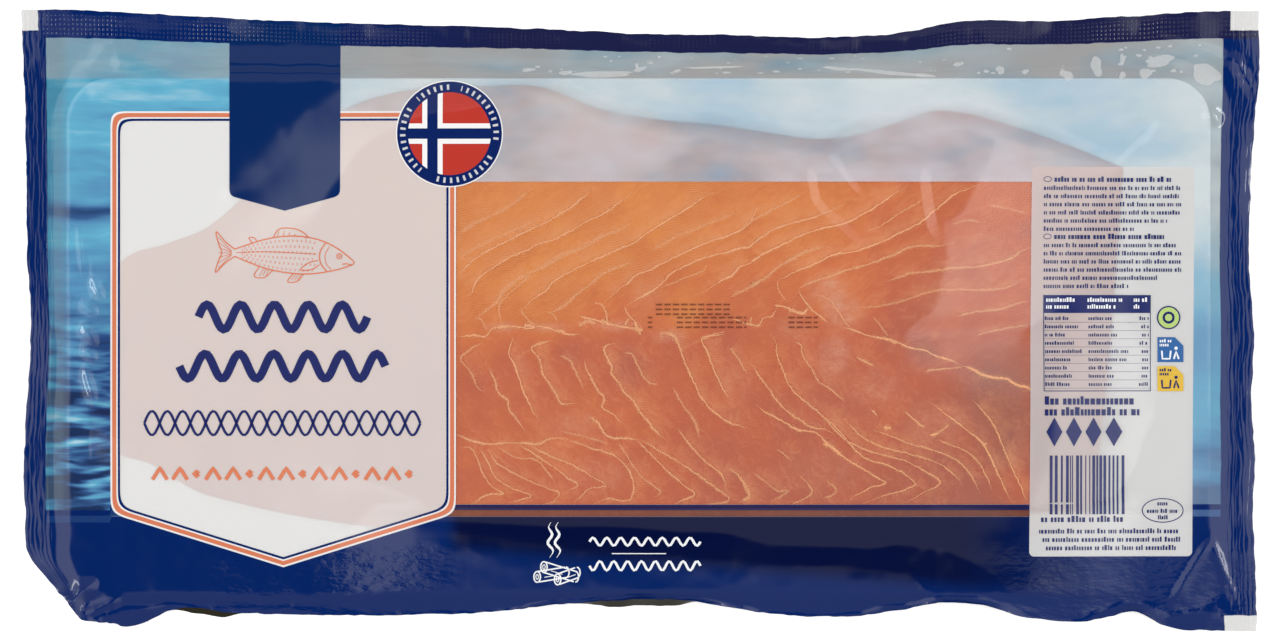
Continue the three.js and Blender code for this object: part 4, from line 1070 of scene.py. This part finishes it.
def date_marks(press):
    """Where a date would be stamped on the window: plain blocks of dots, three across and three high, without any
    figures."""
    for left, right, low in ((5.2, 28.8, 1.9), (2.6, 3.9, -2.3), (11.9, 33.7, -2.3), (47.9, 57.3, -2.3)):
        for number, x in enumerate(np.arange(left, right, 0.68)):
            for y in low + np.arange(3) * 1.56 if number % 4 != 3 else ():
                press.block("stamp", x, x + 0.56, y, y + 0.58)


def seal_pockets(press):
    """Pale spots in the top seal, where its two films lie close without touching: the SEAL_POCKETS, and sixty small
    drops in two rows."""
    random = np.random.default_rng(12)
    for x, y, wide, tall, turn in SEAL_POCKETS:
        press.disc("pocket", x, y, wide, tall, 0.3, int(abs(x) * 7), math.radians(turn))
    for _ in range(60):
        x, y = random.uniform(-38, 182), random.choice([random.uniform(80.3, 84), random.uniform(86, 91)])
        size = random.uniform(0.18, 0.55)
        press.disc("pocket", x, y, size * random.uniform(1, 1.9), size, 0.2, int(x * 13) % 97 + 3)


# ---------------------------------------------------------------------------------------------------------------------
# Materials
# ---------------------------------------------------------------------------------------------------------------------

def plug(tree, slot, value):
    """Gives a node's slot its value, or links it to the field or the socket that has it."""
    if isinstance(value, Field):
        value = value.socket
    if isinstance(value, bpy.types.NodeSocket):
        tree.links.new(value, slot)
    else:
        slot.default_value = value


class Field:
    """A number worked out at each point by a material's nodes, with the usual arithmetic. Making one adds its node."""

    def __init__(self, tree, socket):
        self.tree, self.socket = tree, socket

    def made(self, operation, *values):
        """What a Math node makes of this and other fields or numbers."""
        node = self.tree.nodes.new("ShaderNodeMath")
        node.operation = operation
        for slot, value in zip(node.inputs, values):
            plug(self.tree, slot, value)
        return Field(self.tree, node.outputs[0])

    def __add__(self, other): return self.made("ADD", self, other)
    def __radd__(self, other): return self.made("ADD", other, self)
    def __sub__(self, other): return self.made("SUBTRACT", self, other)
    def __rsub__(self, other): return self.made("SUBTRACT", other, self)
    def __mul__(self, other): return self.made("MULTIPLY", self, other)
    def __rmul__(self, other): return self.made("MULTIPLY", other, self)
    def __truediv__(self, other): return self.made("DIVIDE", self, other)
    def __abs__(self): return self.made("ABSOLUTE", self)
    def min(self, other): return self.made("MINIMUM", self, other)
    def max(self, other): return self.made("MAXIMUM", self, other)
    def sin(self): return self.made("SINE", self)
    def root(self): return self.made("SQRT", self)
    def power(self, other): return self.made("POWER", self, other)

    def over(self, low, high, first=0.0, last=1.0, smooth=False):
        """Runs from first to last as this goes from low to high, and stays there beyond them."""
        node = self.tree.nodes.new("ShaderNodeMapRange")
        node.interpolation_type = "SMOOTHSTEP" if smooth else "LINEAR"
        self.tree.links.new(self.socket, node.inputs["Value"])
        for name, value in (("From Min", low), ("From Max", high), ("To Min", first), ("To Max", last)):
            plug(self.tree, node.inputs[name], value)
        return Field(self.tree, node.outputs["Result"])

    def within(self, soft=0.12):
        """1 where this is above 0 and 0 where it is below, with an edge that is `soft` wide."""
        return self.over(-soft / 2, soft / 2)


class Finish:
    """A material being made, with its tree and a few short ways to add nodes to it."""

    def __init__(self, name):
        self.material = bpy.data.materials.new(name)
        self.material.use_nodes = True
        self.tree = self.material.node_tree
        self.tree.nodes.clear()

    def node(self, kind, inputs=None, **settings):
        """A node of a kind, with its settings and what goes into its slots."""
        node = self.tree.nodes.new(kind)
        for name, value in settings.items():
            setattr(node, name, value)
        for name, value in (inputs or {}).items():
            plug(self.tree, node.inputs[name], value)
        return node

    def split(self, socket):
        """The three parts of a vector."""
        node = self.node("ShaderNodeSeparateXYZ", {"Vector": socket})
        return [Field(self.tree, out) for out in node.outputs]

    def joined(self, x, y, z=0.0):
        """A vector of three parts."""
        return self.node("ShaderNodeCombineXYZ", {"X": x, "Y": y, "Z": z}).outputs[0]

    def noise(self, vector, scale=1.0, detail=2.0, roughness=0.5):
        """Noise of 0 to 1 round 0.5, in a given number of features per unit of the vector."""
        node = self.node("ShaderNodeTexNoise", {
            "Vector": vector, "Scale": scale, "Detail": detail, "Roughness": roughness,
        })
        return Field(self.tree, node.outputs["Fac"])

    def object_place(self):
        """A point's place on its object, in metres."""
        return self.node("ShaderNodeTexCoord").outputs["Object"]

    def bump(self, strength, distance, height):
        """The normal of a surface with a fine relief of that height."""
        node = self.node("ShaderNodeBump", {"Strength": strength, "Distance": distance, "Height": height})
        return node.outputs["Normal"]

    def blend(self, share, first, second):
        """A shader that is the first one, and the second by its share."""
        return self.node("ShaderNodeMixShader", {0: share, 1: first, 2: second}).outputs[0]

    def mix(self, factor, first, second):
        """A colour that goes from first to second by a factor."""
        return self.node("ShaderNodeMix", {"Factor": factor, 6: first, 7: second}, data_type="RGBA").outputs[2]

    def ramp(self, value, stops, interpolation="LINEAR"):
        """A colour and an opacity by a value from 0 to 1: stops are (place, colour with opacity)."""
        node = self.node("ShaderNodeValToRGB", {"Fac": value})
        node.color_ramp.interpolation = interpolation
        elements = node.color_ramp.elements
        while len(elements) < len(stops):
            elements.new(0.5)
        for element, (place, colour) in zip(elements, stops):
            element.position, element.color = place, colour
        return node.outputs["Color"], Field(self.tree, node.outputs["Alpha"])

    def clear(self):
        """A shader that lets all light through."""
        return self.node("ShaderNodeBsdfTransparent").outputs[0]

    def principled(self, **inputs):
        """The shader of most finishes, with its inputs' names written with underscores."""
        names = {key.replace("_", " "): value for key, value in inputs.items()}
        return self.node("ShaderNodeBsdfPrincipled", names).outputs[0]

    def done(self, shader):
        """The finished material."""
        self.node("ShaderNodeOutputMaterial", {"Surface": shader})
        return self.material


NAVY = (0.0003, 0.0145, 0.108, 1.0)
SEAL_NAVY = (0.010, 0.012, 0.056, 1.0)  # along the top seal
BANNER_NAVY = (0.0010, 0.018, 0.100, 1.0)
# LOW_NAVY is darker by painted shade of the slab's dark side behind the print.
LOW_NAVY = (0.0002, 0.0032, 0.036, 1.0)  # under the window, with the slab's dark side behind it
LOW_STRIPE = (0.020, 0.016, 0.070, 1.0)  # the stripe over the slab
# the see-through gap's colours: over the slab a dark painted shade, beside it on the left sea blue and on the right a
# paler blue
SLAB_GAP_SHADE, SEA_GAP, RIGHT_GAP = (0.016, 0.012, 0.018, 1.0), (0.006, 0.035, 0.15, 1.0), (0.03, 0.09, 0.26, 1.0)
ORANGE = (0.62, 0.185, 0.095, 1.0)
RED = (0.475, 0.038, 0.027, 1.0)
WHITE = (0.84, 0.84, 0.84, 1.0)
LABEL_WHITE = (0.645, 0.645, 0.65, 1.0)


def box_field(x, y, box):
    """How far a point is outside a box with round corners, negative inside."""
    half_x, half_y = (box["right"] - box["left"]) / 2, (box["high"] - box["low"]) / 2
    qx = abs(x - (box["left"] + half_x)) - (half_x - box["corner"])
    qy = abs(y - (box["low"] + half_y)) - (half_y - box["corner"])
    outside = (qx.max(0) * qx.max(0) + qy.max(0) * qy.max(0)).root()
    return outside + qx.max(qy).min(0) - box["corner"]


def hanging_field(x, y, shape):
    """How far a point is inside a shape that hangs down to a tip, negative outside: between its two sides, below its
    upper edge if it has one, and above the two slopes that meet at the tip, with the corners rounded."""
    x = abs(x - shape["middle"])
    side = x - shape["half"]
    if "high" in shape:
        side = side.made("SMOOTH_MAX", side, y - shape["high"], shape["corner"])
    slope = x * shape["slope"][0] - (y - shape["tip"]) * shape["slope"][1]
    return -1 * side.made("SMOOTH_MAX", side, slope, shape["corner"])


def film_bump(f, u, v):
    """The film's fine relief as a normal: uneven ribs along the side seals, rows of small ticks in the top seal,
    strongest near its ends, and blotches where it is slack under the picture."""
    side = abs(u).over(189.5, 193.0)
    waver = f.noise(f.joined(u * 0.6, v * 0.09), detail=1.0)
    ribs = ((u * 4.1 + waver * 9).sin() * 0.3 + waver * 1.2) * side
    top = v.over(92.6, 93.2) * v.over(100.6, 100.0)
    ends = (abs(u - 20).over(60.0, 140.0) * 0.8 + 0.2) * (u * 0.13).sin().over(-1.6, 0.4)
    ticks = (u * 4.52).sin().over(0.2, 0.8) * (v * 3.9).sin().over(-0.3, 0.4) * top * ends
    slack = v.over(-70.0, -76.0) * abs(u + 100).over(44.0, 34.0).max(u.over(110.0, 124.0))
    blotches = f.noise(f.joined(u * 0.26, v * 0.5)) * slack * 2.2
    return f.bump(0.55, 0.00012, ribs + ticks * 0.8 + blotches)


def sea(f, u, v):
    """The printed water: pale and even far off, with a few darker streaks, and bold dark waves with light crests in
    front. Its depth of colour follows the SEA_STREAKS down the film, which wander with noise."""
    slow = f.noise(f.joined(u * 0.02, v * 0.03))
    quick = f.noise(f.joined(u * 0.05, v * 0.27 + slow * 2.0, 4.0))
    streaks, _ = f.ramp((v + (slow - 0.5) * 9.0).over(-64.0, 93.0), [
        (place, (depth, depth, depth, 1.0)) for place, depth in SEA_STREAKS
    ])
    depth = Field(f.tree, f.node("ShaderNodeSeparateColor", {"Color": streaks}).outputs[0])
    depth = depth + (quick - 0.5) * (v.over(10.0, -40.0) * 2.3 + 0.42) * u.over(100.0, 150.0, 1.0, 0.1)
    depth = depth + (slow - 0.5) * u.over(100.0, 150.0, 0.0, 0.6) - u.over(100.0, 150.0, 0.0, 0.15)
    return f.ramp(depth, [
        (0.0, (0.40, 0.65, 0.79, 0.62)), (0.20, (0.055, 0.41, 0.62, 0.7)), (0.38, (0.040, 0.24, 0.47, 0.75)),
        (0.56, (0.008, 0.075, 0.24, 0.82)), (0.78, (0.003, 0.020, 0.085, 0.9)),
    ])


def sky(f, u, v):
    """The printed sky: pale cloud with bluer patches, one of them at the upper right, and rosy over the window."""
    cloud = f.noise(f.joined(u * 0.018, v * 0.04, 9.0), 1.0, 3.0)
    patch = abs(u - 155).over(22.0, 6.0) * abs(v - 64).over(13.0, 3.0)
    blue = (cloud - 0.5) * 2.2 + 0.33 + patch * 0.30
    colour, opacity = f.ramp(blue, [
        (0.0, (0.60, 0.69, 0.73, 0.54)), (0.42, (0.44, 0.58, 0.66, 0.52)), (0.72, (0.27, 0.49, 0.65, 0.50)),
        (1.0, (0.06, 0.36, 0.66, 0.52)),
    ])
    rosy = v.over(76.0, 58.0) * u.over(135.0, 120.0) * cloud.over(0.62, 0.44, 0.1, 0.85)
    puffs = f.noise(f.joined(u * 0.07, v * 0.11, 2.0), detail=1.0)
    return f.mix(rosy, colour, (0.62, 0.68, 0.78, 1)), opacity + (puffs - 0.5) * 0.26 + rosy * 0.03


def lay(f, under, over, mask):
    """One ink laid over another where the mask is 1. An ink is (colour, opacity)."""
    colour = f.mix(mask, under[0], over[0])
    opacity = under[1] + (over[1] - under[1]) * mask
    return colour, opacity


def picture_ink(f, u, v):
    """The picture: water left of the panel and of its banner, and low on the right, and sky over the rest. It is
    darker along the left seal, by painted shade where no board lies behind the film, and greyer in patches along the
    top one."""
    wander = f.noise(f.joined(u * 0.1, v * 0.03)) * 16
    at_sea = u.over(-114.0, -115.0).max((v + wander).over(44.0, 4.0, smooth=True) * u.over(150.0, 160.0) * 0.85)
    ink = lay(f, sky(f, u, v), sea(f, u, v), at_sea)
    # painted shade: a dark grey-blue along the left seal, where no board lies behind the film
    ink = lay(f, ink, ((0.10, 0.155, 0.20, 1), 0.8), u.over(-184.5, -187.5, 0.0, 0.4))
    sealed = v.over(77.9, 79.0) * f.noise(f.joined(u * 0.02, v * 0.05, 3.0)).over(0.68, 0.45)
    return lay(f, ink, ((0.55, 0.55, 0.555, 1), 0.52), sealed * u.over(-150.0, -70.0, 0.40, 1.0))


def navy_inks(f, u, v, ink):
    """The navy field below the picture, a stripe over it with a gap between them, and the border. Over the slab the
    gap is dark, and over the slab's foot the field is darker: painted shade of the slab behind the print. There the
    stripe is purpler. Beside the slab the gap is sea blue. The navy is purpler along the top seal."""
    fine = v + u.over(-171.0, -171.5, 0.0, 2.0)
    gap = (1.1 - abs(fine + 62.0)).within(0.2)
    cover = u.over(126.0, 127.0, 0.36, 0.8).max(u.over(-160.0, -161.0, 0.0, 0.92))
    beside_slab = u.over(-160.0, -161.0).max(u.over(160.0, 161.0))
    # painted shade: over the slab the gap is darkened by SLAB_GAP_SHADE; beside it the gap is sea blue
    shade = f.mix(beside_slab, SLAB_GAP_SHADE, f.mix(u.over(0.0, 1.0), SEA_GAP, RIGHT_GAP))
    ink = lay(f, ink, (shade, cover), gap)

    stripe, field = (0.9 - abs(fine + 60.1)).within(0.2), (-63.1 - fine).within(0.25)
    border = (abs(u + v.over(-100.0, 100.0, 2.4, 1.9)) - 190.4).max(v - 92.3).within(0.3)
    # painted shade: the field turns to LOW_NAVY over the slab's foot
    over_slab = (v + (u + 60.0) * 0.075).over(-77.0, -69.5, smooth=True) * u.over(-63.0, -58.0)
    over_slab = over_slab * u.over(150.0, 104.0) * v.over(0.0, -1.0)
    sealed = v.over(92.0, 92.6) * u.over(-120.0, -40.0)
    navy = f.mix(over_slab, f.mix(sealed, NAVY, SEAL_NAVY), LOW_NAVY)
    return lay(f, ink, (f.mix(stripe * over_slab, navy, LOW_STRIPE), 0.97), stripe.max(field).max(border))


def tabs_ink(f, u, v, ink):
    """White tabs on three corners."""
    tabs = (u - 190.9).min(v - 95.3).max((u - 189.3).min(-95.1 - v)).max((-194.8 - u).min(v - 94.9))
    return lay(f, ink, (WHITE, 0.72), tabs.within(0.3))


def panel_ink(f, u, v, ink):
    """The panel: from its edge inwards a white, an orange, a white and a navy line, and a thin white."""
    inside = hanging_field(u, v, SHIELD)
    lines = f.ramp(inside / 8, [
        (0.0, (*WHITE[:3], 0.8)), (0.07, (*ORANGE[:3], 0.93)), (0.235, (*WHITE[:3], 0.8)),
        (0.295, (*NAVY[:3], 0.96)), (0.39, (0.80, 0.80, 0.795, 0.60)),
    ], "CONSTANT")
    return lay(f, ink, lines, inside.within(0.12))


def banner_ink(f, u, v, ink):
    """The bare navy banner that hangs over the panel."""
    return lay(f, ink, (BANNER_NAVY, 0.97), hanging_field(u, v, BANNER).within(0.15))


def roundel_ink(f, u, v, ink):
    """The roundel: a flag with a cross, in a navy ring that has a row of small marks in groups and a white rim."""
    du, dv = u - ROUNDEL["x"], v - ROUNDEL["y"]
    radius = (du * du + dv * dv).root()
    angle = dv.made("ARCTAN2", dv, du)
    marks = (angle * 44).sin().over(0.35, 0.65) * (0.85 - abs(radius - ROUNDEL["marks"])).within(0.2)
    marks = marks * ((angle * 7 + 0.6).sin() + (angle * 4).sin() * 0.5).over(-0.85, -0.8)
    cross = abs(du + 5.5).min(abs(dv))
    flag, _ = f.ramp(cross / 8, [(0.0, NAVY), (0.21, WHITE), (0.41, RED)], "CONSTANT")
    disc = f.mix((ROUNDEL["flag"] - radius).within(0.15), f.mix(marks * 0.7, NAVY, WHITE), flag)
    disc = f.mix((radius - ROUNDEL["ring"]).within(0.12), disc, WHITE)
    return lay(f, ink, (disc, 0.93), (ROUNDEL["rim"] - radius).within(0.15))


def label_ink(f, u, v, ink):
    """The white label, which leans a little and is more opaque over the navy field."""
    lean = u + v.over(LABEL["low"], LABEL["high"], LABEL["lean"], 0.0)
    label = (-1 * box_field(lean, v, LABEL)).within(0.15)
    return lay(f, ink, (LABEL_WHITE, v.over(-61.0, -63.0, 0.55, 0.78)), label)


def printed_film():
    """The front film: clear, glossy and printed on its inner face. Where there is ink the film is as opaque as it,
    and where there is none only the gloss shows. The inks are laid over one another in this order."""
    f = Finish("printed film")
    place = f.node("ShaderNodeUVMap", uv_map="print").outputs["UV"]
    u, v, _ = f.split(place)
    ink = picture_ink(f, u, v)

    # the clear window, which has a ragged upper edge and ends under the label
    rough = f.noise(place, 2.2, 1.0) * 0.5
    ink = ink[0], ink[1] * box_field(u, v + rough, WINDOW).within(0.15).max(u.over(127.0, 128.0))

    for printed in (navy_inks, tabs_ink, panel_ink, banner_ink, roundel_ink, label_ink):
        ink = printed(f, u, v, ink)

    normal = film_bump(f, u, v)
    gloss = f.node("ShaderNodeBsdfGlossy", {"Color": (1, 1, 1, 1), "Roughness": 0.07, "Normal": normal}).outputs[0]
    outside = 1 - Field(f.tree, f.node("ShaderNodeNewGeometry").outputs["Backfacing"])
    edge = Field(f.tree, f.node("ShaderNodeFresnel", {"IOR": 1.62, "Normal": normal}).outputs[0]) * outside
    inked = f.principled(Base_Color=ink[0], Roughness=0.1, IOR=1.5, Normal=normal)
    return f.done(f.blend(ink[1], f.blend(edge, f.clear(), gloss), inked))


def film_ink(name, colour, opacity):
    """A plain ink printed on the film, under the film's own gloss, with a fine grain of 8 % in its colour."""
    f = Finish(name)
    darker, lighter = [(*(min(part * share, 1) for part in colour), 1) for share in (0.92, 1.08)]
    shade = f.mix(f.noise(f.object_place(), 2500.0, 0.0), darker, lighter)
    return f.done(f.blend(opacity, f.clear(), f.principled(Base_Color=shade, Roughness=0.12, IOR=1.5)))


def back_film():
    """The back film: dark and only faintly glossy, a little brown."""
    f = Finish("back film")
    position = f.object_place()
    tone = f.noise(position, 60.0, 3.0, 0.55)
    colour = f.mix(tone, (0.015, 0.0135, 0.009, 1), (0.026, 0.023, 0.015, 1))
    normal = f.bump(0.4, 0.0006, f.noise(position, 90.0, 3.0))
    return f.done(f.principled(Base_Color=colour, Roughness=0.5, IOR=1.1, Normal=normal))


def coated_board():
    """White coated board, with the faint grain of its fibres."""
    f = Finish("coated board")
    position = f.object_place()
    grain = f.noise(position, 900.0, 1.0, 0.6)
    colour = f.mix(grain, (0.75, 0.75, 0.745, 1), (0.79, 0.79, 0.785, 1))
    return f.done(f.principled(Base_Color=colour, Roughness=0.5))


def salmon_flesh():
    """Smoked salmon: orange flesh, yellower where its tone is warm and greyer where it is not, lighter on one side of
    each line of fat and darker on the other, with fine wavy muscle fibres, paler spots and a soft mottle. Its streaks
    run up to the right above the middle and down to the right below it. On the slices' cut edges the first channel
    of the flesh map is painted light at the top of each edge and painted shade at its bottom."""
    f = Finish("smoked salmon")
    position = f.object_place()
    veins_and_edge_shade, tone, pale = f.split(f.node("ShaderNodeAttribute", attribute_name="flesh").outputs["Vector"])
    mottle = f.noise(position, 130.0, 2.0, 0.6)
    grain = f.noise(position, 700.0, 2.0, 0.65)
    tone = tone + (mottle - 0.5) * 0.35
    colour, _ = f.ramp(tone * 0.5 + 0.5, [
        (0.0, (0.300, 0.112, 0.084, 1)), (0.28, (0.384, 0.112, 0.074, 1)), (0.5, (0.467, 0.122, 0.065, 1)),
        (0.72, (0.545, 0.158, 0.062, 1)), (1.0, (0.600, 0.214, 0.068, 1)),
    ])
    x, y, _ = f.split(position)
    upper = f.noise(f.joined(x * 78 + y * 48, y * 560 - x * 330 + mottle * 6.0), roughness=0.6)
    lower = f.noise(f.joined(x * 80 - y * 110, x * 500 + y * 380 + mottle * 9.0, 7.0), roughness=0.6)
    streaks = upper + (lower - upper) * (y + (x - 0.06).max(0.0) * 0.33).over(0.0, -0.006)
    # the first channel: lighter or darker beside the lines of fat on the top, and painted light and shade on the
    # slices' cut edges
    light = veins_and_edge_shade * 0.5 + (streaks - 0.5) * 0.65 + (mottle - 0.5) * 0.4 + (grain - 0.5) * 0.3
    colour = f.mix(light.over(0.0, 1.0), colour, (0.67, 0.300, 0.150, 1))
    colour = f.mix(light.over(0.0, -1.0), colour, (0.385, 0.088, 0.048, 1))
    colour = f.mix(pale * (grain * 1.4).min(1.0), colour, (0.60, 0.30, 0.20, 1))
    sway = f.noise(position, 55.0)
    fibres = (y * 8600.0 - x * 1900.0 + sway * 42.0).sin() * 0.5 + 0.5
    fibres = fibres * f.noise(position, 70.0, 1.0).over(0.38, 0.62)
    colour = f.mix(fibres * 0.36, colour, (0.41, 0.104, 0.048, 1))
    normal = f.bump(0.4, 0.0003, veins_and_edge_shade * 0.05 + fibres * -0.25)
    return f.done(f.principled(Base_Color=colour, Roughness=0.42, IOR=1.18, Normal=normal))


def salmon_fat():
    """The fat between the muscles: a pale peach core, thin and broken, with a frayed skirt of lighter flesh. Thin fat
    is brighter, to make up for the light that it keeps from the flesh below."""
    f = Finish("salmon fat")
    across, along, strength = f.split(f.node("ShaderNodeAttribute", attribute_name="strand").outputs["Vector"])
    position = f.object_place()
    broken = f.noise(position, 900.0, 1.0, 0.6)
    frayed = f.noise(f.joined(along * 1.9, across * 1.2), roughness=0.6)
    skirt = (1 - across * across).power(1.6) * frayed.over(0.40, 0.66) * 0.42
    core = (1 - across * across * 8.0).max(0.0) * (broken * 1.6 + 0.15).over(0.25, 1.0)
    cover = (skirt + core * 1.1) * strength
    tone = f.noise(position, 160.0, 0.0)
    colour = f.mix(tone, (0.72, 0.29, 0.125, 1), (0.74, 0.345, 0.18, 1))
    colour = f.mix(cover.over(0.9, 0.2), colour, (0.90, 0.48, 0.24, 1))
    return f.done(f.blend(cover.over(0.0, 1.0), f.clear(), f.principled(Base_Color=colour, Roughness=0.35)))


# ---------------------------------------------------------------------------------------------------------------------
# The pack
# ---------------------------------------------------------------------------------------------------------------------

def stand_for_pouch(piece, *materials):
    """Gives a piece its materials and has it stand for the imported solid, on its body."""
    for material in materials:
        piece.data.materials.append(material)
    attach(piece, "root")
    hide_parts("pouch")
    return piece


stand_for_pouch(board(), coated_board())
stand_for_pouch(salmon_slices(), salmon_flesh())
stand_for_pouch(fat_strands(), salmon_fat())
pouch = stand_for_pouch(film_pouch(), printed_film(), back_film())

press = Press()
for part in (shield_print, low_print, label_print, date_marks, seal_pockets):
    part(press)
stand_for_pouch(press.piece("fine_print"), *(film_ink(*ink) for ink in INKS.values()))


# ---------------------------------------------------------------------------------------------------------------------
# The table, the light and the camera
# ---------------------------------------------------------------------------------------------------------------------

def table_top():
    """A plain pale floor, big enough for every view."""
    floor = new_piece("floor", [(-3000, -3000, 0), (3000, -3000, 0), (3000, 3000, 0), (-3000, 3000, 0)], [(0, 1, 2, 3)])
    f = Finish("table")
    floor.data.materials.append(f.done(f.principled(
        Base_Color=(0.93, 0.93, 0.93, 1), Roughness=0.9, Emission_Color=(1, 1, 1, 1), Emission_Strength=0.4,
    )))


def light_tent():
    """A pale tent of light over the pack, bright at its left and right, dim at its near and far end, with a dark
    opening overhead for the camera, and two bright strips."""
    world = bpy.data.worlds.new("light tent")
    bpy.context.scene.world = world
    world.use_nodes = True
    tree = world.node_tree
    tree.nodes.clear()
    place = tree.nodes.new("ShaderNodeTexCoord")
    parts = tree.nodes.new("ShaderNodeSeparateXYZ")
    tree.links.new(place.outputs["Generated"], parts.inputs[0])
    sideways, endways, up = (Field(tree, part) for part in parts.outputs)
    sideways, endways = abs(sideways), abs(endways)
    walls = (sideways / (sideways + endways + 0.001)).over(0.3, 0.7, TENT["ends"], TENT["sides"], smooth=True)
    strength = up.over(math.cos(math.radians(13)), math.cos(math.radians(8)), walls, TENT["opening"], smooth=True)
    background = tree.nodes.new("ShaderNodeBackground")
    background.inputs["Color"].default_value = (1.0, 0.99, 0.98, 1)
    tree.links.new(strength.socket, background.inputs["Strength"])
    output = tree.nodes.new("ShaderNodeOutputWorld")
    tree.links.new(background.outputs[0], output.inputs[0])
    for name, x, y, turn in (("left strip", -0.9, 0.15, -42), ("right strip", 0.9, 0.1, 42)):
        lamp = bpy.data.lights.new(name, "AREA")
        lamp.shape, lamp.size, lamp.size_y, lamp.energy = "RECTANGLE", 0.22, 0.9, 4.5
        piece = bpy.data.objects.new(name, lamp)
        piece.location = (x, y, 1.0)
        piece.rotation_euler = (0, math.radians(turn), 0)
        bpy.context.scene.collection.objects.link(piece)


def camera():
    """Straight above the pack, with a long lens, and the pack in the middle of a 1280 x 642 picture."""
    data = bpy.data.cameras.new("camera")
    piece = bpy.data.objects.new("camera", data)
    data.sensor_width = 36
    data.lens = data.sensor_width * PICTURE["height"] / (PICTURE["pixels"] * PICTURE["pixel"])
    data.clip_end = 20
    piece.location = (0, 0, PICTURE["height"])
    bpy.context.scene.collection.objects.link(piece)
    bpy.context.scene.camera = piece


table_top()
light_tent()
camera()
bpy.context.scene.view_settings.view_transform = "Standard"
